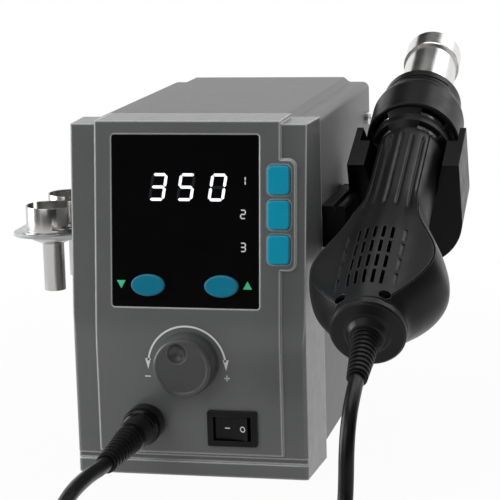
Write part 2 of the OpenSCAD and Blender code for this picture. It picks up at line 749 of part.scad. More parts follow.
// Fan housing: half ellipses about a middle below the axis, tapering into the grip
function bowl_w(s) = s < fan_s
    ? fan_half * pow(1 - pow((fan_s - s) / (fan_s + 2.5), 1.5), 1 / 1.5)
    : fan_half - (fan_half - grip_r + 2.5) * ease(s, fan_s, 3 * fan_s);
function bowl_mid(s) = -3.4 * bowl_share(s);
function bowl_down(s) = 12.3 + 8.2 * bowl_share(s);
// Half width of the flat leaf rim: an arc from the cap, then a taper to the grip
function rim_w(s) = s < rim_peak
    ? rim_cap + (rim_fan - rim_cap) * sin(90 * (s - shell_start) / (rim_peak - shell_start))
    : rim_fan - (rim_fan - rim_grip) * ease(s, rim_peak, 70);
// The upper half ellipse passes through the rim
function bowl_up(s) = (rim_z - bowl_mid(s)) / sqrt(1 - pow(min(rim_w(s) / bowl_w(s), 0.985), 2));
// Distance from the axis to an ellipse whose middle lies at height c
function ellipse_r(a, w, h, c) = let (k = pow(cos(a) / w, 2) + pow(sin(a) / h, 2),
        b = c * sin(a) / (h * h))
    (b + sqrt(b * b - k * (c * c / (h * h) - 1))) / k;
function bowl_r(a, s) = let (w = bowl_w(s), c = bowl_mid(s), r = ellipse_r(a, w, bowl_up(s), c))
    r * sin(a) > c ? r : ellipse_r(a, w, bowl_down(s), c);
// The bowl is cut flat at the rim and dies away along the grip
function wing_r(a, s) = (1 - 0.3 * ease(s, 60, 105))
    * (sin(a) > 0.05 ? min(bowl_r(a, s), rim_z / sin(a)) : bowl_r(a, s));
function form_r(a, s) = pow(pow(core_r(s), 12) + pow(wing_r(a, s), 12), 1 / 12);
// The parting line follows the rim: high at the cap and along the grip, low beside the fan
function parting(s) = atan2(rim_z, rim_w(s));
function at_angle(r, a, s) = [r * cos(a), s, r * sin(a)];
// Closed ring of a half shell from angle a1 to a2, with five grooves
inner_steps = shell_steps / 2;
function shell_ring(s, a1, a2, groove) = concat(
    [for (i = [0:shell_steps]) let (a = a1 + (a2 - a1) * i / shell_steps)
        at_angle(form_r(a, s) - (i % 6 == 3 ? groove : 0), a, s)],
    [for (i = [inner_steps:-1:0]) let (a = a1 + (a2 - a1) * i / inner_steps)
        at_angle(form_r(a, s) - shell_wall, a, s)]);
shell_stations = [shell_start, 7, 10, 14, 19, 25, 32, 39, 46, 53, 61, groove_start, groove_start + 6,
    82, 90, 100, 112, groove_end - 4, groove_end, shell_end];
// End face of a half shell: a strip of triangles between its outer and inner edge
function inner_point(i) = shell_steps + 1 + inner_steps - i;
shell_caps = [for (i = [0:inner_steps - 1]) for (f = [[2 * i, 2 * i + 1, inner_point(i)],
    [2 * i + 1, 2 * i + 2, inner_point(i + 1)], [2 * i + 1, inner_point(i + 1), inner_point(i)]]) f];
// Joins rings of equal length into a closed solid with the given end faces
module loft(rings, caps) {
    n = len(rings[0]);
    m = len(rings);
    polyhedron(points = [for (ring = rings) for (p = ring) p],
        faces = concat(caps, [for (f = caps) [for (i = reversed(f)) (m - 1) * n + i]],
            [for (j = [0:m - 2]) for (i = [0:n - 1])
                [j * n + (i + 1) % n, j * n + i, (j + 1) * n + i]],
            [for (j = [0:m - 2]) for (i = [0:n - 1])
                [j * n + (i + 1) % n, (j + 1) * n + i, (j + 1) * n + (i + 1) % n]]));
}
module handle_upper_shell() {
    color(charcoal) at_handle() rolled() difference() {
        loft([for (s = shell_stations) shell_ring(s, parting(s) + seam, 180 - seam - parting(s),
            groove_depth * ease(s, groove_start, groove_start + 6)
            * (1 - ease(s, groove_end - 4, groove_end)))], shell_caps);
        for (row = [0:3]) for (c = [-2:2]) rotate([0, c * vent_turn, 0])
            translate([0, vent_first + row * vent_step + vent_l / 2, core_r(fan_s) + 2])
                cube([vent_w, vent_l, 12], center = true);
        handle_recesses();
    }
}
// Recesses round the heads of the handle's two screws, cut from both shells and the cap
module handle_recesses() {
    for (x = [-handle_screw_x, handle_screw_x]) translate([x, handle_screw_s, handle_screw_h])
        cylinder(r = recess_r, h = 14);
}
module handle_lower_shell() {
    color(charcoal) at_handle() rolled() difference() {
        loft([for (s = shell_stations) shell_ring(s, 180 + seam - parting(s), 360 - seam + parting(s), 0)],
            shell_caps);
        // Air inlet slots under the fan
        for (i = [-4:4]) translate([i * 4.4 - 0.9, fan_mid - inlet_l / 2 + abs(i), -30])
            cube([1.8, inlet_l - 2 * abs(i), 20]);
        handle_recesses();
    }
}
module end_cap() {
    color(charcoal) at_handle() difference() {
        turned([[0, -hub_l], [6.4, -hub_l], [7, -hub_l + 0.4], [8.4, -0.8], [9.6, 0], [cap_r - 0.9, 0],
            [cap_r, 0.9], [cap_r, cap_back], [spigot_r, cap_back], [spigot_r, spigot_end],
            [0, spigot_end]]);
        rolled() {
            handle_recesses();
            for (x = [-handle_screw_x, handle_screw_x]) translate([x, handle_screw_s, 0])
                cylinder(r = 1.2 + screw_gap, h = 20);
        }
    }
}
module handle_screws() {
    color(steel) at_handle() rolled() for (x = [-handle_screw_x, handle_screw_x])
        translate([x, handle_screw_s, handle_screw_h]) screw(2.2, 1.6, 1.2, 6);
}
module handle_boot() {
    color(black) at_handle() translate([0, -hub_l, 0]) rotate([90, 0, 0])
        boot(boot_l, 5.9, cord_r + boot_lip, 10);
}
// Black guard at the nose: a hollow collar open to the rear, with two slits over the front
module nose_guard() {
    w = guard_wall;
    nose_end = guard_s + guard_l;
    color(charcoal) at_handle() difference() {
        turned([[guard_r - w, guard_s], [guard_r - 0.5, guard_s], [guard_r, guard_s + 0.6],
            [guard_r, guard_s + 19.5], [guard_r - 0.6, guard_s + 22.5], [nose_r + 0.4, guard_s + 27.5],
            [nose_r, guard_s + 29.5], [nose_r, nose_end - 1.4], [nose_r - 1.2, nose_end],
            [tube_r + turn_gap, nose_end], [tube_r + turn_gap, nose_end - 4], [nose_r - w, nose_end - 5],
            [nose_r - w, guard_s + 28.5], [guard_r - w, guard_s + 20.5]]);
        for (k = [0, 1]) translate([0, nose_end - 6.6 - k * 6, 0]) difference() {
            turned([[nose_r - 1, 0], [nose_r + 3, 0], [nose_r + 3, 1.2], [nose_r - 1, 1.2]]);
            translate([0, 0, -28]) cube([90, 10, 80], center = true);
        }
    }
}
// Piece of the space round the handle's axis between two angles
module sector(s1, s2, a1, a2) {
    translate([0, s1, 0]) rotate([-90, 0, 0]) linear_extrude(s2 - s1)
        polygon(concat([[0, 0]], [for (i = [0:6]) let (a = a1 + (a2 - a1) * i / 6) 40 * [cos(a), sin(a)]]));
}
// Open basket that carries the guard in front of the grip: two rows of windows, four ribs
module guard_basket() {
    inner = guard_r - guard_wall;
    r = basket_r;
    ring_end = basket_ring + basket_ring_l;
    color(charcoal) at_handle() rolled() difference() {
        turned([[tube_r + 0.5, shell_end], [grip_r, shell_end], [r, basket_ring], [r, ring_end],
            [inner, guard_s], [inner, guard_s + 11], [inner - 1.6, guard_s + 11],
            [inner - 1.6, guard_s + 0.8], [r - 1.8, ring_end], [r - 1.8, basket_ring + 0.6]]);
        for (k = [45:90:315]) {
            sector(shell_end - 1, basket_ring - 0.2, k - window_turn / 2, k + window_turn / 2);
            sector(ring_end + 0.2, guard_s + 9, k - window_turn / 2, k + window_turn / 2);
        }
    }
}
// Heater tube with a thin sleeve round its root, seen through the basket
module heater_tube() {
    s = basket_ring;
    color(steel) at_handle() turned([[tube_r - tube_wall, tube_start], [tube_r, tube_start],
        [tube_r, guard_s + 16.4], [16.3, guard_s + 11.2], [16.3, guard_s + 0.4], [14.5, s + 5],
        [14.5, s + 0.9], [12.6, s - 1.5], [13.1, s - 1.7], [15.2, s + 0.6], [15.2, s + 4.8],
        [17, guard_s + 0.2], [17, guard_s + 11.5], [tube_r, guard_s + 17.5],
        [tube_r, handle_l - 2], [tube_r - tube_wall, handle_l - 2]]);
}
module tube_collar() {
    r = tube_r + 1;
    bore = tube_r + 0.02;
    s = handle_l - collar_l;
    color(steel) at_handle() turned([[bore, s], [r, s], [r + 0.2, s + 0.8], [r, s + 1.6],
        [r - 0.1, handle_l - 0.8], [r - 0.6, handle_l], [tube_r - tube_wall, handle_l],
        [tube_r - tube_wall, handle_l - 1.98], [bore, handle_l - 1.98]]);
}
// Mica cross with the wire wound round it
coil_in = 7.6;
module heater_core() {
    color([0.9, 0.88, 0.82]) at_handle() translate([0, guard_s, 0]) for (a = [0, 60, 120])
        rotate([0, a, 0]) {
            cube([2 * coil_in, 64, 1.2], center = true);
            for (y = [-30, 30]) translate([0, y, 0])
                cube([2 * (tube_r - tube_wall - fit), 4, 1.2], center = true);
        }
}
module heater_coil() {
    color([0.55, 0.5, 0.45]) at_handle() for (k = [-5:5]) translate([0, guard_s + k * 4.6, 0])
        turned([[coil_in + 0.05, -0.5], [coil_in + 1, -0.5], [coil_in + 1, 0.5], [coil_in + 0.05, 0.5]]);
}
// Radial fan: its axis stands across the handle
module fan_frame() {
    w = fan_r + 1.2;
    tail_l = fan_low - bowl_mid(fan_mid) + bowl_down(fan_mid) - shell_wall - 0.7;
    color(black) at_handle() rolled() translate([0, fan_mid, fan_low]) difference() {
        union() {
            cylinder(r = w + 1.2, h = 1.6);
            cylinder(r = 3.2, h = 9);
            difference() {
                cylinder(r = w + 1.2, h = 12);
                translate([0, 0, -1]) cylinder(r = w, h = 16);
                translate([-7, 8, 1.6]) cube([14, 20, 14]);
            }
            // Bearing tail that rests in the lower shell
            translate([0, 0, -tail_l]) cylinder(r = 5, h = tail_l + 0.4);
        }
        translate([0, 0, 4]) cylinder(r = 1.2 + turn_gap, h = 10);
    }
}
module impeller() {
    color(charcoal) at_handle() rolled() translate([0, fan_mid, fan_low]) {
        difference() {
            union() {
                translate([0, 0, 2.4]) cylinder(r = fan_r, h = 1.2);
                translate([0, 0, 3]) cylinder(r = 8.4, h = 9);
                for (a = [0:15:345]) rotate([0, 0, a]) translate([fan_r - 5.5, 0, 7.5])
                    rotate([0, 0, 35]) cube([6, 0.8, 9], center = true);
            }
            translate([0, 0, -1]) cylinder(r = 3.2 + turn_gap, h = 10.4);
        }
        translate([0, 0, 4.4]) cylinder(r = 1.2, h = 6.6);
    }
}

// Cradle on the right side: a trough along the handle, round below
module cradle_section(over) {
    translate([0, cradle_drop]) circle(r = cradle_half + over, $fn = 72);
    translate([-cradle_half - over, -cradle_top])
        square([2 * (cradle_half + over), cradle_top + cradle_drop]);
}
// Trough open to the top, with room for a given radius at its floor
module cradle_trough(l, r) {
    rotate([-90, 0, 0]) linear_extrude(l) difference() {
        cradle_section(0);
        circle(r = r, $fn = 72);
        polygon([[-r, 0], [r, 0], [r + cradle_flare, -cradle_top - 1],
            [-r - cradle_flare, -cradle_top - 1]]);
    }
}
module holder_cradle() {
    grip_l = shell_end - 1.5 - cradle_s;
    color(black) at_handle() {
        translate([0, cradle_s, 0]) cradle_trough(grip_l, grip_r + cradle_gap);
        // The front part is wider, for the basket before the grip
        translate([0, cradle_s + grip_l, 0])
            cradle_trough(cradle_l - grip_l, guard_r - guard_wall + cradle_gap);
    }
}
module holder_arm() {
    color(black) difference() {
        translate([cover_half, arm_front, arm_top]) rotate([-90, 0, 0]) linear_extrude(arm_l)
            polygon([[0, arm_h], [0, 0.8], [0.8, 0], [5.4, 0], [6.8, 2.2], [8.2, 0],
                [arm_side - 0.8, 0], [arm_side, 0.8], [arm_side, arm_h - 2], [arm_side - 2, arm_h]]);
        at_handle() translate([0, cradle_s - 0.05, 0]) rotate([-90, 0, 0])
            linear_extrude(cradle_l + 0.1) cradle_section(0.05);
        holder_screw_places() translate([0, 0, -1]) cylinder(r = screw_r, h = 5.5);
    }
}
// Screws go from inside the cover into the arm
module holder_screw_places() {
    for (y = arm_screw_y) translate([cover_half, y, arm_top - arm_h / 2])
        rotate([0, 90, 0]) children();
}
module holder_screws() {
    color(steel) holder_screw_places() translate([0, 0, -sheet]) rotate([180, 0, 0])
        screw(2.8, 2, screw_r - 0.05, 5);
}

// Cord: from the plug over the coil on the table and up to the handle
coil_x = 30;
coil_y = -245;
coil_r = 30;
plug_run = [[-18.5, -149, 24.5], [-19.2, -156, 24.5], [-20.4, -163, 24.5],
    [-21, -171, 24.4], [-21.3, -179, 24.2], [-21.3, -187, 23.6], [-21, -195, 22.3], [-20, -203, 20.2],
    [-18.1, -211, 17.6], [-15.4, -218.5, 15], [-12.3, -225.5, 12.6], [-9.4, -232, 10.8],
    [-7.2, -238.5, 9.6], [-6, -245, 9.2]];
handle_run = [[79.6, -140.2, 58.9], [79.6, -146.2, 56.3], [79.6, -152.2, 53.1],
    [79.6, -157.8, 48.9], [79.6, -162.2, 43.3], [79.6, -165, 36.4], [79.6, -166.6, 28.8],
    [79.5, -168.6, 21], [79.2, -172.4, 13.8], [78.5, -178.8, 8], [77.3, -187, 4.7], [75.8, -196, 3.3],
    [74.2, -205, 3.1], [72.5, -215, 3.1], [70.8, -225, 3.1], [69.5, -235, 3.1], [69, -245, 3.1]];
function unit(v) = v / norm(v);
// Round tube swept along the points of a route
module cord_tube(points) {
    last = len(points) - 1;
    loft([for (i = [0:last]) let (t = unit(points[min(i + 1, last)] - points[max(i - 1, 0)]),
            u = unit(cross(t, [1, 0, 0])), v = cross(t, u))
        [for (k = [0:9]) points[i] + cord_r * (cos(36 * k) * u + sin(36 * k) * v)]],
        [[for (k = [0:9]) k]]);
}
module cord_plug_run() {
    color(black) cord_tube(concat([[socket_x, plug_end_y - plug_boot_l - 0.1, socket_z]], plug_run));
}
module cord_coil() {
    color(black) translate([coil_x, coil_y, 0]) rotate_extrude($fn = 64) translate([coil_r, 0])
        polygon([[11, 0], [12, 1.2], [12, 4.8], [9.4, 10], [8, 12.2], [-8, 12.2], [-10.4, 10],
            [-12, 4.8], [-12, 1.2], [-11, 0]]);
}
module cord_handle_run() {
    s = hub_l + boot_l + 0.1;
    color(black) cord_tube(concat([[handle_x, end_y - s * cos(tilt), end_z - s * sin(tilt)]],
        handle_run));
}

front_frame();
display_window();
top_cover();
base_pan();
rear_panel();
feet();
cover_screws();
rear_screws();
control_board();
display_module();
key_switches();
encoder_body();
knob_shaft();
knob();
preset_key(1);  // preset_key_1
preset_key(0);  // preset_key_2
preset_key(-1);  // preset_key_3
oval_key(-1);  // down_key
oval_key(1);  // up_key
switch_housing();
rocker();
panel_socket();
plug_ring();
plug_body();
plug_boot();
power_board();
power_parts();
heat_sink();
mains_inlet();
nozzle_rack();
rack_screws();
nozzle(outlet_large, 0);  // nozzle_large
nozzle(outlet_small, 1);  // nozzle_small
holder_arm();
holder_cradle();
holder_screws();
handle_upper_shell();
handle_lower_shell();
end_cap();
handle_boot();
nose_guard();
guard_basket();
heater_tube();
tube_collar();
heater_core();
heater_coil();
fan_frame();
impeller();
handle_screws();
cord_plug_run();
cord_coil();
cord_handle_run();
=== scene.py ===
"""Looks of a hot air rework station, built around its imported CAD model."""

import math

import bmesh
import bpy
from mathutils import Matrix, Vector


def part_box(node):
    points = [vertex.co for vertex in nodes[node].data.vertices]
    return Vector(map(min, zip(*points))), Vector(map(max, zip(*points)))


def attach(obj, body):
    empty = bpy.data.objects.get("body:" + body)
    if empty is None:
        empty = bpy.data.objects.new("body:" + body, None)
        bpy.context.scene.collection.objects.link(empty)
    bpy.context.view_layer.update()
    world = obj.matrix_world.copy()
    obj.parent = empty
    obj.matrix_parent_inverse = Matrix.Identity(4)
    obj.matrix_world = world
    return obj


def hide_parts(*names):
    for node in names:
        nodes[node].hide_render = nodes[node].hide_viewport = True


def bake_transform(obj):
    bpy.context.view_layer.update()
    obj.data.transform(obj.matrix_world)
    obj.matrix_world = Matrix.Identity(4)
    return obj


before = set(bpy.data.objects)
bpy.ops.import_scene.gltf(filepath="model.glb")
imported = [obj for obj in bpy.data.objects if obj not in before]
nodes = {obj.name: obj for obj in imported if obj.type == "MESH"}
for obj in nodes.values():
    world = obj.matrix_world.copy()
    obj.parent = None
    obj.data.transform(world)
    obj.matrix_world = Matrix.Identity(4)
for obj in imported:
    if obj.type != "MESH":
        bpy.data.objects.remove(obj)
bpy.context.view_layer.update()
MM = 0.001


# Camera

IMAGE = 500
FOCAL = 1998.0  # in pixels of the photograph's frame
SENSOR = 36
CAM_AT = Vector((204.18, -864.35, 254.40)) * MM
YAW, PITCH, ROLL = -0.22344, 0.19369, 0.02774


def make_camera():
    forward = Vector((math.sin(YAW) * math.cos(PITCH), math.cos(YAW) * math.cos(PITCH),
                      -math.sin(PITCH)))
    level = Vector((math.cos(YAW), -math.sin(YAW), 0))
    down = forward.cross(level)
    right = math.cos(ROLL) * level + math.sin(ROLL) * down
    up = math.sin(ROLL) * level - math.cos(ROLL) * down
    data = bpy.data.cameras.new("camera")
    data.sensor_width = SENSOR
    data.lens = SENSOR * FOCAL / IMAGE
    data.clip_start = 0.05
    camera = bpy.data.objects.new("camera", data)
    turn = Matrix((right, up, -forward)).transposed().to_4x4()
    camera.matrix_world = Matrix.Translation(CAM_AT) @ turn
    bpy.context.scene.collection.objects.link(camera)
    bpy.context.scene.camera = camera


make_camera()


# Cord

CORD_D = 6.0
CORD_SIDES, SPAN_STEPS = 16, 4
COIL_AT = Vector((30, -245, 0))
COIL_LOW, COIL_HIGH = 3.1, 9.2  # heights of the cord's middle in the two layers
COIL_R, COIL_STEP = 39, 6  # outermost radius, and how much less it is at each turn
COIL_TOP_R, COIL_TOP_SPREAD = 21, 16  # where the upper layer starts, and how far out it goes
COIL_TURNED, COIL_DIPPED, COIL_CLIMBED, COIL_END = 3, 3.15, 3.2, 4.5  # in turns from the outside
TURN_STEPS = 16
HANDLE_RUN = [
    (79.6, -139.17, 59.36), (79.6, -140.2, 58.9), (79.6, -146.2, 56.3), (79.6, -152.2, 53.1),
    (79.6, -157.8, 48.9), (79.6, -162.2, 43.3), (79.6, -165, 36.4), (79.6, -166.6, 28.8),
    (79.5, -168.6, 21), (79.2, -172.4, 13.8), (78.5, -178.8, 8), (77.3, -187, 4.7),
    (75.8, -196, 3.3), (74.2, -205, 3.1), (72.5, -215, 3.1), (70.8, -225, 3.1), (69.5, -235, 3.1),
]
PLUG_RUN = [
    (-18.5, -147.9, 24.5), (-18.5, -149, 24.5), (-19.2, -156, 24.5), (-20.4, -163, 24.5),
    (-21, -171, 24.4), (-21.3, -179, 24.2), (-21.3, -187, 23.6), (-21, -195, 22.3),
    (-20, -203, 20.2), (-18.1, -211, 17.6), (-15.4, -218.5, 15), (-12.3, -225.5, 12.6),
    (-9.4, -232, 10.8), (-7.2, -238.5, 9.6),
]


def smooth_step(x, a, b):
    """0 before a, 1 after b, and a smooth rise between them."""
    t = max(0.0, min(1.0, (x - a) / (b - a)))
    return t * t * (3 - 2 * t)


def coil_points():
    """Three turns inwards on the table, then one and a half outwards on top of them, clockwise."""
    points = []
    for i in range(int(COIL_END * TURN_STEPS) + 1):
        turn = i / TURN_STEPS
        if turn <= COIL_TURNED:
            radius = COIL_R - COIL_STEP * turn
        else:
            radius = (COIL_TOP_R - smooth_step(turn, COIL_TURNED, COIL_DIPPED)
                      + COIL_TOP_SPREAD * smooth_step(turn, COIL_CLIMBED, COIL_END))
        climb = smooth_step(turn, COIL_TURNED, COIL_CLIMBED)
        z = COIL_LOW + (COIL_HIGH - COIL_LOW) * climb
        a = -2 * math.pi * turn
        points.append(COIL_AT + Vector((radius * math.cos(a), radius * math.sin(a), z)))
    return points


def spline_through(points, per_span):
    """Catmull-Rom curve through the points."""
    out = []
    for i in range(len(points) - 1):
        p0, p1 = points[max(i - 1, 0)], points[i]
        p2, p3 = points[i + 1], points[min(i + 2, len(points) - 1)]
        for k in range(per_span):
            t = k / per_span
            out.append(0.5 * (2 * p1 + (p2 - p0) * t
                              + (2 * p0 - 5 * p1 + 4 * p2 - p3) * t * t
                              + (3 * p1 - p0 - 3 * p2 + p3) * t ** 3))
    out.append(points[-1])
    return out


def link_mesh(name, mesh):
    piece = bpy.data.objects.new(name, mesh)
    bpy.context.scene.collection.objects.link(piece)
    return piece


def mesh_piece(name, verts, faces, smooth=True):
    mesh = bpy.data.meshes.new(name)
    mesh.from_pydata([tuple(v) for v in verts], [], faces)
    mesh.validate()
    mesh.update()
    for polygon in mesh.polygons:
        polygon.use_smooth = smooth
    return link_mesh(name, mesh)


def tube(name, path, radius, sides):
    """Round tube along the path, closed at both ends."""
    verts, faces = [], []
    side = Vector((1, 0, 0))
    for i, p in enumerate(path):
        along = (path[min(i + 1, len(path) - 1)] - path[max(i - 1, 0)]).normalized()
        side = (side - along * side.dot(along)).normalized()
        other = along.cross(side)
        for k in range(sides):
            a = 2 * math.pi * k / sides
            verts.append(p + radius * (math.cos(a) * side + math.sin(a) * other))
    last = len(path) - 1
    for i in range(last):
        for k in range(sides):
            n = (k + 1) % sides
            low, high = i * sides, (i + 1) * sides
            faces.append((low + k, low + n, high + n, high + k))
    faces.append(tuple(reversed(range(sides))))
    faces.append(tuple(last * sides + k for k in range(sides)))
    return mesh_piece(name, verts, faces)


cord_route = ([Vector(p) for p in HANDLE_RUN] + coil_points()
              + [Vector(p) for p in reversed(PLUG_RUN)])
cord_path = [p * MM for p in spline_through(cord_route, SPAN_STEPS)]
cord = tube("cord", cord_path, CORD_D / 2 * MM, CORD_SIDES)


# Materials

NOISE_SPAN = (0.3, 0.7)  # where most values of a noise lie
EDGE_SPAN = (0.86, 0.998)  # likeness of the rounded normal and the true one, at an edge and off it
BEVEL_SAMPLES = 6
COAT_ROUGH = 0.2
GLOSS_FINER = 5  # how much finer the blotches of gloss are than those of colour
GLOW_GRAIN, GLOW_LEAST, UNLIT_SHARE, LED_ROUGH = 700, 0.93, 0.6, 0.4


def shader(name):
    mat = bpy.data.materials.new(name)
    mat.use_nodes = True
    return mat, mat.node_tree.nodes, mat.node_tree.links, mat.node_tree.nodes["Principled BSDF"]


def noise_node(tree_nodes, links, where, scale, detail=2.0, stretch=None, turn=None):
    node = tree_nodes.new("ShaderNodeTexNoise")
    node.inputs["Scale"].default_value = scale
    node.inputs["Detail"].default_value = detail
    source = where
    if stretch:
        mapping = tree_nodes.new("ShaderNodeMapping")
        mapping.inputs["Scale"].default_value = stretch
        if turn:
            mapping.inputs["Rotation"].default_value = turn
        links.new(where, mapping.inputs["Vector"])
        source = mapping.outputs["Vector"]
    links.new(source, node.inputs["Vector"])
    return node.outputs["Fac"]


def ranged(tree_nodes, links, value, low, high, frm=NOISE_SPAN):
    node = tree_nodes.new("ShaderNodeMapRange")
    node.inputs["From Min"].default_value = frm[0]
    node.inputs["From Max"].default_value = frm[1]
    node.inputs["To Min"].default_value = low
    node.inputs["To Max"].default_value = high
    links.new(value, node.inputs["Value"])
    return node.outputs["Result"]


def ramp(tree_nodes, links, value, low, high, frm=NOISE_SPAN):
    node = tree_nodes.new("ShaderNodeValToRGB")
    node.color_ramp.elements[0].position = frm[0]
    node.color_ramp.elements[1].position = frm[1]
    node.color_ramp.elements[0].color = (*low, 1)
    node.color_ramp.elements[1].color = (*high, 1)
    links.new(value, node.inputs["Fac"])
    return node.outputs["Color"]


def scaled(color, factor):
    return tuple(min(1.0, c * factor) for c in color)


def edge_mask(tree_nodes, links, bevel_normal):
    """1 along sharp edges, where the rounded normal leaves the true one, and 0 on flat faces."""
    true_normal = tree_nodes.new("ShaderNodeNewGeometry").outputs["Normal"]
    dot = tree_nodes.new("ShaderNodeVectorMath")
    dot.operation = "DOT_PRODUCT"
    links.new(bevel_normal, dot.inputs[0])
    links.new(true_normal, dot.inputs[1])
    return ranged(tree_nodes, links, dot.outputs["Value"], 1.0, 0.0, EDGE_SPAN)


def moulded(name, color, rough, grain=2200, bump=0.25, vary=0.08, bevel=0.4, rough_vary=0.05,
            patch=35, metallic=0.0, coat=0.0, stretch=None, turn=None, depth=0.08, specular=0.5,
            edge=0.0, detail=2.0):
    """Surface with a fine grain, faint blotches of colour and gloss, soft edges, and a painted
    highlight that lightens the colour along sharp edges by edge.
    """
    mat, n, links, bsdf = shader(name)
    where = n.new("ShaderNodeTexCoord").outputs["Object"]
    blotch = noise_node(n, links, where, patch, 3)
    tint = ramp(n, links, blotch, scaled(color, 1 - vary), scaled(color, 1 + vary))
    grains = noise_node(n, links, where, grain, detail, stretch, turn)
    gloss = noise_node(n, links, where, patch * GLOSS_FINER, 3)
    links.new(ranged(n, links, gloss, rough - rough_vary, rough + rough_vary),
              bsdf.inputs["Roughness"])
    bumps = n.new("ShaderNodeBump")
    bumps.inputs["Strength"].default_value = bump
    bumps.inputs["Distance"].default_value = depth * MM
    links.new(grains, bumps.inputs["Height"])
    if bevel:
        soft = n.new("ShaderNodeBevel")
        soft.samples = BEVEL_SAMPLES
        soft.inputs["Radius"].default_value = bevel * MM
        links.new(soft.outputs["Normal"], bumps.inputs["Normal"])
        # Painted highlight: edge lightens the colour where the rounded normal leaves the true one,
        # along sharp edges.
        if edge:
            lighter = n.new("ShaderNodeMixRGB")
            links.new(edge_mask(n, links, soft.outputs["Normal"]), lighter.inputs["Fac"])
            links.new(tint, lighter.inputs["Color1"])
            painted_highlight = (min(1.0, c + edge) for c in color)
            lighter.inputs["Color2"].default_value = (*painted_highlight, 1)
            tint = lighter.outputs["Color"]
    links.new(tint, bsdf.inputs["Base Color"])
    links.new(bumps.outputs["Normal"], bsdf.inputs["Normal"])
    bsdf.inputs["Metallic"].default_value = metallic
    bsdf.inputs["Coat Weight"].default_value = coat
    bsdf.inputs["Coat Roughness"].default_value = COAT_ROUGH
    bsdf.inputs["Specular IOR Level"].default_value = specular
    return mat


HANDLE_TILT = math.radians(22.8)
RINGS_ABOUT_Z = (14, 14, 1100)  # stretch of the noise that gives turned metal its fine rings
RINGS_ALONG_TUBE = (14, 1000, 14)

# In these materials, edge sets a painted highlight: how much lighter the colour is along sharp
# edges.
frame_plastic = moulded("frame_plastic", (0.108, 0.112, 0.11), 0.44, grain=2600, bump=0.2,
                        bevel=1.3, edge=0.75, specular=0.35, coat=0.6)
cover_paint = moulded("cover_paint", (0.175, 0.175, 0.175), 0.42, grain=2800, bump=0.12, vary=0.02,
                      rough_vary=0.015, bevel=0.6, edge=0.35, specular=0.3)
rack_paint = moulded("rack_paint", (0.42, 0.43, 0.44), 0.3, grain=1300, bump=0.1, vary=0.04,
                     bevel=0.3, edge=0.25)
zinc_steel = moulded("zinc_steel", (0.5, 0.51, 0.53), 0.38, grain=260, bump=0.05, vary=0.16,
                     patch=120, metallic=1.0, bevel=0.2)
window_gloss = moulded("window_gloss", (0.003, 0.003, 0.0034), 0.16, grain=60, bump=0.01, vary=0.1,
                       bevel=0.15, rough_vary=0.02, specular=0.07, edge=0.05)
key_teal = moulded("key_teal", (0.0, 0.33, 0.5), 0.36, grain=1800, bump=0.08, vary=0.06, bevel=0.6,
                   edge=0.06, specular=0.16)
oval_teal = moulded("oval_teal", (0.0, 0.2, 0.32), 0.34, grain=1800, bump=0.08, vary=0.06,
                    bevel=0.6, edge=0.06, specular=0.2)
knob_plastic = moulded("knob_plastic", (0.062, 0.063, 0.063), 0.32, grain=2400, bump=0.1,
                       bevel=0.5, edge=0.16, specular=0.35)
black_satin = moulded("black_satin", (0.005, 0.005, 0.0055), 0.34, grain=2400, bump=0.1, bevel=0.4,
                      edge=0.03, specular=0.15)
black_gloss = moulded("black_gloss", (0.003, 0.003, 0.003), 0.18, grain=900, bump=0.03, bevel=0.4,
                      rough_vary=0.03, specular=0.22, edge=0.02)
rubber = moulded("rubber", (0.005, 0.005, 0.005), 0.42, grain=1500, bump=0.15, bevel=0.3,
                 specular=0.2, edge=0.02)
cord_skin = moulded("cord_skin", (0.005, 0.005, 0.0055), 0.34, grain=1100, bump=0.1, bevel=0,
                    specular=0.24)
bright_steel = moulded("bright_steel", (0.62, 0.61, 0.6), 0.25, grain=900, bump=0.06, vary=0.08,
                       metallic=1.0, bevel=0.15)
polished_steel = moulded("polished_steel", (0.5, 0.49, 0.48), 0.24, grain=1.0, bump=0.08,
                         vary=0.06, metallic=1.0, bevel=0.15, stretch=RINGS_ABOUT_Z,
                         rough_vary=0.03, depth=0.03, detail=1.0)
tube_steel = moulded("tube_steel", (0.74, 0.73, 0.72), 0.24, grain=1.0, bump=0.08, vary=0.06,
                     metallic=1.0, bevel=0.15, stretch=RINGS_ALONG_TUBE, turn=(-HANDLE_TILT, 0, 0),
                     rough_vary=0.03, depth=0.03, detail=1.0)
handle_plastic = moulded("handle_plastic", (0.0105, 0.0107, 0.0111), 0.34, grain=2600, bump=0.16,
                         bevel=0.4, edge=0.05, specular=0.15)
guard_plastic = moulded("guard_plastic", (0.005, 0.0052, 0.0055), 0.36, grain=2400, bump=0.16,
                        bevel=0.4, edge=0.05, specular=0.15)
holder_plastic = moulded("holder_plastic", (0.003, 0.003, 0.0033), 0.34, grain=2200, bump=0.1,
                         bevel=0.6, edge=0.02, specular=0.1)
board_green = moulded("board_green", (0.015, 0.12, 0.05), 0.35, grain=500, bump=0.1, vary=0.25,
                      patch=300)
aluminium = moulded("aluminium", (0.7, 0.71, 0.72), 0.35, grain=700, bump=0.08, metallic=1.0,
                    bevel=0.1)
mica = moulded("mica", (0.7, 0.66, 0.55), 0.45, grain=600, bump=0.15, vary=0.12, patch=90)
heater_wire = moulded("heater_wire", (0.3, 0.27, 0.24), 0.4, grain=900, bump=0.1, metallic=1.0,
                      bevel=0)
print_white = moulded("print_white", (0.85, 0.85, 0.85), 0.5, grain=2600, bump=0.05, vary=0.04,
                      bevel=0)
print_green = moulded("print_green", (0.05, 0.62, 0.32), 0.5, grain=2600, bump=0.05, vary=0.04,
                      bevel=0)
led_off = moulded("led_off", (0.0075, 0.008, 0.011), 0.4, grain=2600, bump=0.05, vary=0.05,
                  bevel=0, specular=0.2)


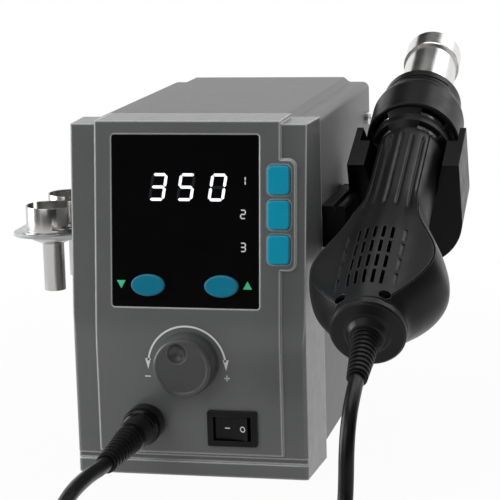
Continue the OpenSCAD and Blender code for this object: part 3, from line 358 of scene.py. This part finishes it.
def lit(name, color, strength):
    """Printed mark that also shines, with a faintly uneven glow."""
    mat, n, links, bsdf = shader(name)
    where = n.new("ShaderNodeTexCoord").outputs["Object"]
    glow = noise_node(n, links, where, GLOW_GRAIN, 2)
    links.new(ramp(n, links, glow, scaled(color, GLOW_LEAST), color),
              bsdf.inputs["Emission Color"])
    bsdf.inputs["Base Color"].default_value = (*scaled(color, UNLIT_SHARE), 1)
    bsdf.inputs["Emission Strength"].default_value = strength
    bsdf.inputs["Roughness"].default_value = LED_ROUGH
    return mat


led_white = lit("led_white", (0.93, 0.94, 1.0), 1.0)

# The nodes that a piece below replaces are not in this table
NODE_MATERIALS = {
    frame_plastic: ["front_frame"],
    cover_paint: ["top_cover", "rear_panel"],
    rack_paint: ["nozzle_rack"],
    zinc_steel: ["base_pan"],
    window_gloss: ["display_window"],
    key_teal: ["preset_key_1", "preset_key_2", "preset_key_3"],
    oval_teal: ["down_key", "up_key"],
    knob_plastic: ["knob"],
    black_satin: ["display_module", "key_switches", "switch_housing", "rocker", "mains_inlet",
                  "power_parts", "fan_frame", "impeller"],
    black_gloss: ["plug_ring", "plug_body"],
    rubber: ["feet", "plug_boot", "handle_boot"],
    bright_steel: ["cover_screws", "rear_screws", "encoder_body", "knob_shaft", "panel_socket",
                   "rack_screws", "holder_screws", "handle_screws"],
    tube_steel: ["heater_tube", "tube_collar"],
    handle_plastic: ["end_cap"],
    guard_plastic: ["nose_guard", "guard_basket"],
    holder_plastic: ["holder_arm", "holder_cradle"],
    board_green: ["control_board", "power_board"],
    aluminium: ["heat_sink"],
    mica: ["heater_core"],
    heater_wire: ["heater_coil"],
}
for mat, names in NODE_MATERIALS.items():
    for name in names:
        mesh = nodes[name].data
        mesh.materials.clear()
        mesh.materials.append(mat)

cord.data.materials.append(cord_skin)
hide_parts("cord_handle_run", "cord_coil", "cord_plug_run")
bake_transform(cord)


# Handle shells

AT_HANDLE = (Matrix.Translation(Vector((79.6, -112.9, 70.4)) * MM)
             @ Matrix.Rotation(HANDLE_TILT, 4, "X"))
ROLLED = AT_HANDLE @ Matrix.Rotation(math.radians(-8.4), 4, "Y")

# Lengths are in millimetres, and a station s is a distance from the cap along the handle's axis
CAP_R, GRIP_R, FAN_HALF, FAN_S, FAN_MID = 15.3, 14.6, 28.4, 30.0, 34.0
CORE_RISE, CORE_RISES, CORE_FALLS = 1.5, (5, 20), (45, 88)
BOWL_FALLS, BOWL_WIDE_TO = (50, 100), 3 * FAN_S
BOWL_POWER, BOWL_BACK, BOWL_UNDER_GRIP = 1.5, 2.5, 2.5
BOWL_DROP, BOWL_LOW, BOWL_LOWER = 3.4, 12.3, 8.2
RIM_Z, RIM_CAP, RIM_FAN, RIM_GRIP, RIM_PEAK, RIM_TO = 12.4, 8.9, 25.9, 14.9, 33.0, 70
RIM_REACH = 0.985  # most that the rim may be of the bowl's width
WING_FADE, WING_FADES = 0.3, (60, 105)
MERGE_POWER = 12
SHELL_START, SHELL_END, SHELL_WALL = 4.0, 134.4, 2.0
SHELL_LIP, LIP_ROWS = 0.5, (0, 0.12, 0.3, 0.55, 0.9, 1.3)
ROW_STEP, LAST_ROW = 0.75, 0.3
SEAM = 0.25  # in degrees, from the parting line to each shell
UPPER_COLUMNS, UPPER_EDGE = 160, 0.6
LOWER_COLUMNS, LOWER_EDGE = 170, 0.35
GROOVE_START, GROOVE_END, GROOVE_DEPTH = 69.0, 131.0, 0.9
GROOVE_IN, GROOVE_OUT, GROOVE_SHARE = 6, 4, 0.026
VENT_ROWS, VENT_FIRST, VENT_STEP, VENT_TURN = 4, 12.5, 10.4, 12.33
VENT_L, VENT_W, VENT_ROUND, VENT_LOW, VENT_HIGH = 8.5, 1.5, 0.5, 12, 25
BLIND_COLUMN, BLIND_TURN, BLIND_DEPTH = 3, 5, 0.45
RECESS_X, RECESS_S, RECESS_H, RECESS_R, RECESS_CUT = 9.0, 6.7, 7.0, 2.4, 14
INTAKES, INTAKE_STEP, INTAKE_L, INTAKE_SHORTER = 4, 4.4, 22, 2
INTAKE_W, INTAKE_ROUND, INTAKE_Z, INTAKE_CUT = 1.8, 0.7, -20, 10


def core_r(s):
    """Radius of the round core, from the cap to the grip."""
    return (CAP_R + CORE_RISE * smooth_step(s, *CORE_RISES)
            + (GRIP_R - CAP_R - CORE_RISE) * smooth_step(s, *CORE_FALLS))


def bowl_share(s):
    """Share of its full depth that the fan housing has at a station."""
    return smooth_step(s, 0, FAN_S) * (1 - smooth_step(s, *BOWL_FALLS))


def bowl_w(s):
    """Half width of the fan housing, which ends inside the grip."""
    if s < FAN_S:
        back = (FAN_S - s) / (FAN_S + BOWL_BACK)
        return FAN_HALF * (1 - back ** BOWL_POWER) ** (1 / BOWL_POWER)
    narrower = FAN_HALF - GRIP_R + BOWL_UNDER_GRIP
    return FAN_HALF - narrower * smooth_step(s, FAN_S, BOWL_WIDE_TO)


def rim_w(s):
    """Half width of the flat leaf rim."""
    if s < RIM_PEAK:
        turn = math.pi / 2 * (s - SHELL_START) / (RIM_PEAK - SHELL_START)
        return RIM_CAP + (RIM_FAN - RIM_CAP) * math.sin(turn)
    return RIM_FAN - (RIM_FAN - RIM_GRIP) * smooth_step(s, RIM_PEAK, RIM_TO)


def ellipse_r(a, w, h, c):
    """Distance from the axis to an ellipse of half width w and half height h, raised by c."""
    k = (math.cos(a) / w) ** 2 + (math.sin(a) / h) ** 2
    b = c * math.sin(a) / (h * h)
    return (b + math.sqrt(b * b - k * (c * c / (h * h) - 1))) / k


def bowl_r(a, s):
    """The round fan housing, whose upper half passes through the edge of the rim."""
    w, c = bowl_w(s), -BOWL_DROP * bowl_share(s)
    up = (RIM_Z - c) / math.sqrt(1 - min(rim_w(s) / w, RIM_REACH) ** 2)
    down = BOWL_LOW + BOWL_LOWER * bowl_share(s)
    r = ellipse_r(a, w, up, c)
    return r if r * math.sin(a) > c else ellipse_r(a, w, down, c)


def wing_r(a, s):
    """The bowl, cut flat at the rim, which dies away along the grip."""
    r = bowl_r(a, s)
    if math.sin(a) > 0.05:  # the upper side
        r = min(r, RIM_Z / math.sin(a))
    return (1 - WING_FADE * smooth_step(s, *WING_FADES)) * r


def form_r(a, s):
    """Distance from the axis to the outer face at an angle and a station."""
    return (core_r(s) ** MERGE_POWER + wing_r(a, s) ** MERGE_POWER) ** (1 / MERGE_POWER)


def parting(s):
    """Angle of the parting line above the middle, in degrees."""
    return math.degrees(math.atan2(RIM_Z, rim_w(s)))


def rounding(d, r):
    """How far a rounded edge of radius r falls back at a distance d from its end."""
    return 0 if d >= r else r - math.sqrt(max(0, r * r - (r - d) ** 2))


def shell_piece(name, start, end, relief, columns, edge):
    """Closed half shell between two angles in degrees; relief(share, s) lowers its outer face."""
    rows = [SHELL_START + d for d in LIP_ROWS]
    while rows[-1] < SHELL_END - 1:
        rows.append(rows[-1] + ROW_STEP)
    rows += [SHELL_END - LAST_ROW, SHELL_END]
    verts = []
    for s in rows:
        a1, a2 = start(s), end(s)
        ring = []
        for k in range(columns + 1):
            share = 0.5 - 0.5 * math.cos(math.pi * k / columns)
            a = math.radians(a1 + (a2 - a1) * share)
            r = form_r(a, s)
            side = min(share, 1 - share) * math.radians(a2 - a1) * r
            lower = (relief(share, s) + rounding(side, edge)
                     + rounding(s - SHELL_START, SHELL_LIP))
            ring.append((a, r - lower, r - SHELL_WALL))
        for layer in (1, 2):
            points = [(p[layer] * math.cos(p[0]), s, p[layer] * math.sin(p[0])) for p in ring]
            verts += [ROLLED @ (Vector(p) * MM) for p in points]
    wide, faces = columns + 1, []
    for i in range(len(rows) - 1):
        a, b = i * 2 * wide, (i + 1) * 2 * wide
        for k in range(columns):
            faces.append((a + k, a + k + 1, b + k + 1, b + k))
            faces.append((a + wide + k + 1, a + wide + k, b + wide + k, b + wide + k + 1))
        faces.append((a + wide, a, b, b + wide))
        faces.append((a + columns, a + wide + columns, b + wide + columns, b + columns))
    last = (len(rows) - 1) * 2 * wide
    for k in range(columns):
        faces.append((k + 1, k, wide + k, wide + k + 1))
        faces.append((last + k, last + k + 1, last + wide + k + 1, last + wide + k))
    return mesh_piece(name, verts, faces)


def prism(outline, low, high, place):
    """Verts and faces of an upright prism on an outline in X and Y, moved by a matrix."""
    n = len(outline)
    verts = [place @ (Vector((x, y, z)) * MM) for z in (low, high) for x, y in outline]
    faces = [tuple(reversed(range(n))), tuple(range(n, 2 * n))]
    faces += [(k, (k + 1) % n, n + (k + 1) % n, n + k) for k in range(n)]
    return verts, faces


def round_box(w, h, r, steps=5):
    """Outline of a w by h rectangle with corners of radius r."""
    points = []
    for corner, (sx, sy) in enumerate(((1, 1), (-1, 1), (-1, -1), (1, -1))):
        for i in range(steps):
            a = math.radians(90 * corner + 90 * i / (steps - 1))
            points.append((sx * (w / 2 - r) + r * math.cos(a), sy * (h / 2 - r) + r * math.sin(a)))
    return points


def circle(r, steps=32):
    turns = [2 * math.pi * i / steps for i in range(steps)]
    return [(r * math.cos(a), r * math.sin(a)) for a in turns]


def cut(piece, shapes):
    """Cuts prisms out of a piece and leaves its mesh final."""
    verts, faces = [], []
    for v, f in shapes:
        faces += [tuple(len(verts) + i for i in face) for face in f]
        verts += v
    cutter = mesh_piece("cutter", verts, faces, smooth=False)
    boolean = piece.modifiers.new("cut", "BOOLEAN")
    boolean.object = cutter
    boolean.solver = "EXACT"
    bpy.context.view_layer.objects.active = piece
    bpy.ops.object.modifier_apply(modifier="cut")
    bpy.data.objects.remove(cutter)


def sharpen(piece, degrees=35):
    """Smooth shading with edges sharper than the angle kept crisp."""
    mesh = bmesh.new()
    mesh.from_mesh(piece.data)
    limit = math.radians(degrees)
    for edge in mesh.edges:
        edge.smooth = len(edge.link_faces) == 2 and edge.calc_face_angle(0) < limit
    for face in mesh.faces:
        face.smooth = True
    mesh.to_mesh(piece.data)
    mesh.free()


def grip_grooves(share, s):
    """Five long grooves down the grip."""
    depth = (GROOVE_DEPTH * smooth_step(s, GROOVE_START, GROOVE_START + GROOVE_IN)
             * (1 - smooth_step(s, GROOVE_END - GROOVE_OUT, GROOVE_END)))
    return sum(depth * math.exp(-((share - i / 10) / GROOVE_SHARE) ** 2) for i in (1, 3, 5, 7, 9))


def recesses():
    """Cutters for the recesses round the two screw heads."""
    places = (Vector((side * RECESS_X, RECESS_S, RECESS_H)) for side in (-1, 1))
    return [prism(circle(RECESS_R), 0, RECESS_CUT, ROLLED @ Matrix.Translation(at * MM))
            for at in places]


def make_upper_shell():
    piece = shell_piece("upper_shell", lambda s: parting(s) + SEAM,
                        lambda s: 180 - SEAM - parting(s), grip_grooves, UPPER_COLUMNS, UPPER_EDGE)
    shapes = []
    for row in range(VENT_ROWS):
        for column in range(-BLIND_COLUMN, BLIND_COLUMN + 1):
            angle, low = column * VENT_TURN, VENT_LOW
            along = VENT_FIRST + VENT_STEP * row + VENT_L / 2
            if abs(column) == BLIND_COLUMN:  # a shallow dent, turned further out
                angle += math.copysign(BLIND_TURN, column)
                low = form_r(math.radians(90 - angle), along) - BLIND_DEPTH
            place = (ROLLED @ Matrix.Rotation(math.radians(angle), 4, "Y")
                     @ Matrix.Translation(Vector((0, along, 0)) * MM))
            shapes.append(prism(round_box(VENT_W, VENT_L, VENT_ROUND), low, VENT_HIGH, place))
    cut(piece, shapes + recesses())
    sharpen(piece)
    return piece


def make_lower_shell():
    piece = shell_piece("lower_shell", lambda s: 180 + SEAM - parting(s),
                        lambda s: 360 - SEAM + parting(s), lambda share, s: 0.0,
                        LOWER_COLUMNS, LOWER_EDGE)
    shapes = []
    for i in range(-INTAKES, INTAKES + 1):
        long = INTAKE_L - INTAKE_SHORTER * abs(i)
        at = Vector((i * INTAKE_STEP, FAN_MID, INTAKE_Z))
        shapes.append(prism(round_box(INTAKE_W, long, INTAKE_ROUND), -INTAKE_CUT, INTAKE_CUT,
                            ROLLED @ Matrix.Translation(at * MM)))
    cut(piece, shapes + recesses())
    sharpen(piece)
    return piece


for make, node in ((make_upper_shell, "handle_upper_shell"),
                   (make_lower_shell, "handle_lower_shell")):
    shell = make()
    shell.data.materials.append(handle_plastic)
    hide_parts(node)
    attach(shell, "handle")


# Nozzles

NOZZLE_R, NOZZLE_H, NOZZLE_WALL, NOZZLE_DOME, NOZZLE_OUT = 11.2, 11.5, 0.6, 10.1, 21.0
NOZZLE_SIDES, SLOT_STEPS = 96, 8
# First and last angle and foot and top of the three cuts that make a bayonet slot
NOZZLE_SLOT = ((0, 11, 2.0, NOZZLE_H + 1), (-38, 1, 2.05, 3.6), (-38, -34.5, 3, 4.7))


def make_nozzle(name, node, outlet, turn):
    """Turned nozzle with a rolled rim and two bayonet slots, at the place of its CAD node."""
    low, high = (Vector(corner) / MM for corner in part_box(node))
    at = Vector(((low.x + high.x) / 2, (low.y + high.y) / 2, high.z - NOZZLE_H))
    r, t, o, d = NOZZLE_R, NOZZLE_WALL, outlet / 2, NOZZLE_DOME
    outer = [(o - 0.1, -4.6 - NOZZLE_OUT), (o, -4.5 - NOZZLE_OUT), (o, -5.6), (o + 0.25, -5.05),
             (o + 1, -4.65), (d - 2, -3.6), (d - 1, -3.0), (d - 0.35, -2.2), (d, -1.1), (d, 0),
             (r + 1.75, 0), (r + 1.9, 0.15), (r + 1.9, t - 0.15), (r + 1.75, t),
             (r + 0.25, t + 0.1), (r, t + 0.4), (r, NOZZLE_H - 0.25), (r - 0.1, NOZZLE_H - 0.06)]
    inner = [(r - t / 2, NOZZLE_H), (r - t, NOZZLE_H - 0.15), (r - t, t + 0.6), (d - t, t),
             (d - t, -1), (d - 0.8 - t, -2.1), (d - 2 - t, -3), (o + 1 - t, -4), (o - t, -4.8),
             (o - t, -4.6 - NOZZLE_OUT)]
    profile = outer + inner
    verts = [(at + Vector((x * math.cos(a), x * math.sin(a), z))) * MM
             for a in (2 * math.pi * k / NOZZLE_SIDES for k in range(NOZZLE_SIDES))
             for x, z in profile]
    n, faces = len(profile), []
    for k in range(NOZZLE_SIDES):
        here, there = k * n, (k + 1) % NOZZLE_SIDES * n
        faces += [(here + i, there + i, there + (i + 1) % n, here + (i + 1) % n)
                  for i in range(n)]
    piece = mesh_piece(name, verts, faces)
    for a1, a2, z1, z2 in NOZZLE_SLOT:
        shapes = []
        for side in (0, 180):
            angles = [math.radians(turn + side + a1 + (a2 - a1) * i / SLOT_STEPS)
                      for i in range(SLOT_STEPS + 1)]
            outline = [((r + 1) * math.cos(a), (r + 1) * math.sin(a)) for a in angles]
            outline += [((r - 2) * math.cos(a), (r - 2) * math.sin(a)) for a in reversed(angles)]
            shapes.append(prism(outline, z1, z2, Matrix.Translation(at * MM)))
        cut(piece, shapes)
    sharpen(piece)
    piece.data.materials.append(polished_steel)
    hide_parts(node)
    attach(piece, name)


make_nozzle("large_nozzle", "nozzle_large", 9.2, -35)
make_nozzle("small_nozzle", "nozzle_small", 6.0, 88)


# Marks on the front

LEAN = math.radians(6.7)
FRONT_Y = -87.8
BEND_Z = 61
WINDOW_X, WINDOW_Z = -0.7, 108.6
PRINT_UP, DISPLAY_UP, PRINT_THICK = 0.06, 0.05, 0.05


def lean_y(z):
    """How far back the leaning face is at a height."""
    return (z - BEND_Z) * math.tan(LEAN)


def on_window(x, w, out=PRINT_UP):
    """Point on the leaning window, x across and w up from its middle, in metres."""
    y = FRONT_Y + lean_y(WINDOW_Z) + w * math.sin(LEAN) - out * math.cos(LEAN)
    return Vector((WINDOW_X + x, y, WINDOW_Z + w * math.cos(LEAN) + out * math.sin(LEAN))) * MM


def on_display(x, w):
    return on_window(x, w, DISPLAY_UP)


def on_lower(x, z):
    """Point on the upright face below the window, in metres."""
    return Vector((x, FRONT_Y - PRINT_UP, z)) * MM


class Print:
    """Flat marks of one colour on the front, gathered into one thin piece."""

    def __init__(self, place):
        self.place, self.verts, self.faces = place, [], []

    def add(self, outline):
        start = len(self.verts)
        self.verts += [self.place(x, w) for x, w in outline]
        self.faces.append(tuple(range(start, start + len(outline))))

    def stroke(self, a, b, width, taper=0.5):
        """Bar from a to b, with pointed ends."""
        a, b = Vector(a), Vector(b)
        along = (b - a).normalized()
        side = Vector((-along.y, along.x)) * width / 2
        nib = along * width * taper
        self.add([a, a + nib - side, b - nib - side, b, b - nib + side, a + nib + side])

    def ring(self, centre, r1, r2, start=0, end=360, steps=40):
        for i in range(steps):
            a, b = (math.radians(start + (end - start) * (i + k) / steps) for k in (0, 1))
            self.add([(centre[0] + r * math.cos(t), centre[1] + r * math.sin(t))
                      for r, t in ((r1, a), (r1, b), (r2, b), (r2, a))])

    def bar(self, x1, w1, x2, w2):
        self.add([(x1, w1), (x2, w1), (x2, w2), (x1, w2)])

    def finish(self, name, mat, body="station"):
        piece = mesh_piece(name, self.verts, self.faces, smooth=False)
        piece.data.materials.append(mat)
        bpy.context.view_layer.objects.active = piece
        thick = piece.modifiers.new("thick", "SOLIDIFY")
        thick.thickness = PRINT_THICK * MM
        thick.offset = 0
        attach(piece, body)


SEGMENTS = {  # ends of each segment on a digit that is 1 wide and 2 high
    "a": ((0, 2), (1, 2)), "b": ((1, 2), (1, 1)), "c": ((1, 1), (1, 0)), "d": ((0, 0), (1, 0)),
    "e": ((0, 1), (0, 0)), "f": ((0, 2), (0, 1)), "g": ((0, 1), (1, 1)),
}
SEGMENT_GAP = 0.12  # of the stroke's width
DIGITS = {"0": "abcdef", "1": "bc", "2": "abged", "3": "abgcd", "5": "afgcd"}


def digit(marks, text, x, w, width, height, stroke, slant, unlit=False):
    """Adds the lit segments of a digit to the marks, or the others."""
    gap = stroke * SEGMENT_GAP
    for key in sorted(set(SEGMENTS) - set(DIGITS[text])) if unlit else DIGITS[text]:
        (x1, w1), (x2, w2) = SEGMENTS[key]
        a = Vector((x + width * x1 + slant * height * w1 / 2, w + height * w1 / 2))
        b = Vector((x + width * x2 + slant * height * w2 / 2, w + height * w2 / 2))
        step = (b - a).normalized() * gap
        marks.stroke(a + step, b - step, stroke)


DISPLAY = (("3", -14.9), ("5", -3.0), ("0", 10.3))
GLYPH = (9.0, 5.6, 10.2, 1.2, 0.16)  # foot, width, height, stroke and slant
display = Print(on_display)
for text, x in DISPLAY:
    digit(display, text, x, *GLYPH)
display.finish("display_digits", led_white)
ghosts = Print(on_display)
for text, x in DISPLAY:
    digit(ghosts, text, x, *GLYPH, unlit=True)
ghosts.finish("display_unlit", led_off)

LABELS = (("1", 15.2), ("2", 1.5), ("3", -12.0))
LABEL_X, LABEL_GLYPH = 23.6, (1.9, 3.4, 0.5, 0.0)  # width, height, stroke and slant
labels = Print(on_window)
for text, w in LABELS:
    digit(labels, text, LABEL_X, w, *LABEL_GLYPH)
labels.finish("preset_numbers", print_white)

arrows = Print(on_window)
arrows.add([(-29.2, -24.7), (-27.3, -28.0), (-25.4, -24.7)])
arrows.add([(24.5, -27.6), (28.3, -27.6), (26.4, -24.3)])
arrows.finish("arrow_marks", print_green)

SCALE_X, SCALE_Z, SCALE_R1, SCALE_R2 = -0.4, 49.1, 16.1, 16.9
TIP_R, TIP_Z, TIP_L, MARK_HALF = 16.6, 47.1, 4.6, 1.25
MARK_Z1, MARK_Z2 = 43.75, 44.25
scale = Print(on_lower)
scale.ring((SCALE_X, SCALE_Z), SCALE_R1, SCALE_R2, 6, 174, 64)
for side in (-1, 1):
    tip = SCALE_X + side * TIP_R
    scale.add([(tip - MARK_HALF, TIP_Z + TIP_L), (tip, TIP_Z), (tip + MARK_HALF, TIP_Z + TIP_L)])
    mark = SCALE_X + side * SCALE_R2
    scale.bar(mark - MARK_HALF, MARK_Z1, mark + MARK_HALF, MARK_Z2)
scale.bar(16.25, 42.75, 16.75, 45.25)
scale.finish("knob_scale", print_white)

ROCKER_AT, ROCKER_TURN = Vector((18.3, -85.8)), math.radians(-9)
ROCKER_FACE = ((-7.1, -2.9), (-3.85, -2.2), (0, -1.9), (3.85, -2.2), (7.1, -2.9))


def on_rocker(x, z):
    """Point on the tipped rocker, x along it from its pin, in metres."""
    for (x1, y1), (x2, y2) in zip(ROCKER_FACE, ROCKER_FACE[1:]):
        if x <= x2:
            break
    y = y1 + (y2 - y1) * (x - x1) / (x2 - x1) - PRINT_UP
    c, d = math.cos(ROCKER_TURN), math.sin(ROCKER_TURN)
    return Vector((ROCKER_AT.x + x * c - y * d, ROCKER_AT.y + x * d + y * c, z)) * MM


rocker_marks = Print(on_rocker)
rocker_marks.bar(-3.1, 22.4, -0.9, 22.85)
rocker_marks.ring((4.9, 22.65), 0.85, 1.25, 0, 360, 28)
rocker_marks.finish("rocker_marks", print_white, "power_rocker")


# Floor and light

FLOOR_HALF, FLOOR_TONE, FLOOR_ROUGH, FLOOR_SPECULAR = 6.0, 0.42, 0.7, 0.2
FLOOR_WHITE_NEAR = 0.96
FLOOR_FADE = (0.14, 0.4)  # metres from the middle over which the floor turns white
WORLD_LEVEL = 0.44


def shown_share(n, links):
    """1 for rays from the camera and for mirrored or refracted ones, which see a white studio."""
    path = n.new("ShaderNodeLightPath")
    total = path.outputs["Is Camera Ray"]
    for other in ("Is Glossy Ray", "Is Transmission Ray"):
        larger = n.new("ShaderNodeMath")
        larger.operation = "MAXIMUM"
        links.new(total, larger.inputs[0])
        links.new(path.outputs[other], larger.inputs[1])
        total = larger.outputs["Value"]
    return total


def flat_floor():
    """Pale floor that takes the shadow near the object and turns plain white further out."""
    corners = [(x * FLOOR_HALF, y * FLOOR_HALF, 0)
               for x, y in ((-1, -1), (1, -1), (1, 1), (-1, 1))]
    floor = mesh_piece("floor", corners, [(0, 1, 2, 3)])
    mat, n, links, bsdf = shader("floor")
    bsdf.inputs["Base Color"].default_value = (FLOOR_TONE, FLOOR_TONE, FLOOR_TONE, 1)
    bsdf.inputs["Roughness"].default_value = FLOOR_ROUGH
    bsdf.inputs["Specular IOR Level"].default_value = FLOOR_SPECULAR
    glow = n.new("ShaderNodeEmission")
    glow.inputs["Color"].default_value = (1, 1, 1, 1)
    away = n.new("ShaderNodeVectorMath")
    away.operation = "LENGTH"
    links.new(n.new("ShaderNodeTexCoord").outputs["Object"], away.inputs[0])
    white = ranged(n, links, away.outputs["Value"], FLOOR_WHITE_NEAR, 1.0, FLOOR_FADE)
    share = n.new("ShaderNodeMath")
    share.operation = "MULTIPLY"
    links.new(shown_share(n, links), share.inputs[0])
    links.new(white, share.inputs[1])
    mix = n.new("ShaderNodeMixShader")
    links.new(share.outputs["Value"], mix.inputs["Fac"])
    links.new(bsdf.outputs["BSDF"], mix.inputs[1])
    links.new(glow.outputs["Emission"], mix.inputs[2])
    links.new(mix.outputs["Shader"], n["Material Output"].inputs["Surface"])
    floor.data.materials.append(mat)


def world_light():
    """Even light from all round, and plain white where the camera or a mirror sees it."""
    world = bpy.data.worlds.new("world")
    bpy.context.scene.world = world
    world.use_nodes = True
    n, links = world.node_tree.nodes, world.node_tree.links
    plain = n["Background"]
    plain.inputs["Color"].default_value = (1, 1, 1, 1)
    plain.inputs["Strength"].default_value = WORLD_LEVEL
    white = n.new("ShaderNodeBackground")
    white.inputs["Color"].default_value = (1, 1, 1, 1)
    mix = n.new("ShaderNodeMixShader")
    links.new(shown_share(n, links), mix.inputs["Fac"])
    links.new(plain.outputs["Background"], mix.inputs[1])
    links.new(white.outputs["Background"], mix.inputs[2])
    links.new(mix.outputs["Shader"], n["World Output"].inputs["Surface"])


def softbox(name, at, watts, width, height, aim=(0, 0, 0.08)):
    """Rectangular studio lamp that faces the object."""
    data = bpy.data.lights.new(name, "AREA")
    data.shape = "RECTANGLE"
    data.size, data.size_y = width, height
    data.energy = watts
    lamp = bpy.data.objects.new(name, data)
    lamp.location = at
    lamp.rotation_euler = (Vector(aim) - Vector(at)).to_track_quat("-Z", "Y").to_euler()
    bpy.context.scene.collection.objects.link(lamp)


def dark_card(name, at, width, height, tone=0.02, aim=(0, 0, 0.1)):
    """Dark studio card that only mirrored rays see, so that metal has dark streaks."""
    turn = (Vector(aim) - Vector(at)).to_track_quat("-Z", "Y").to_matrix()
    corners = [Vector(at) + turn @ Vector((sx * width / 2, sy * height / 2, 0))
               for sx, sy in ((-1, -1), (1, -1), (1, 1), (-1, 1))]
    card = mesh_piece(name, corners, [(0, 1, 2, 3)], smooth=False)
    mat, n, links, bsdf = shader(name)
    bsdf.inputs["Base Color"].default_value = (tone, tone, tone, 1)
    bsdf.inputs["Roughness"].default_value = 1.0
    card.data.materials.append(mat)
    card.visible_camera = False
    card.visible_diffuse = False
    card.visible_shadow = False


flat_floor()
world_light()
softbox("key", (-0.45, -1.0, 0.75), 3.3, 0.7, 0.7)
softbox("top", (0.05, 0.15, 1.05), 3.6, 0.7, 0.7)
softbox("left", (-1.1, -0.1, 0.3), 12.0, 0.6, 0.9)
softbox("right", (0.7, 0.8, 0.95), 4.2, 0.6, 0.8)
dark_card("card_front", (0.26, -1.48, 0.5), 2.7, 1.7)
dark_card("card_top", (0.2, 0.5, 1.7), 4.0, 4.0)
dark_card("card_right", (1.7, 0.1, 0.7), 2.6, 1.5)
dark_card("card_left", (-1.5, -0.95, 0.3), 1.5, 1.3, 0.16)

bpy.context.scene.view_settings.view_transform = "Standard"
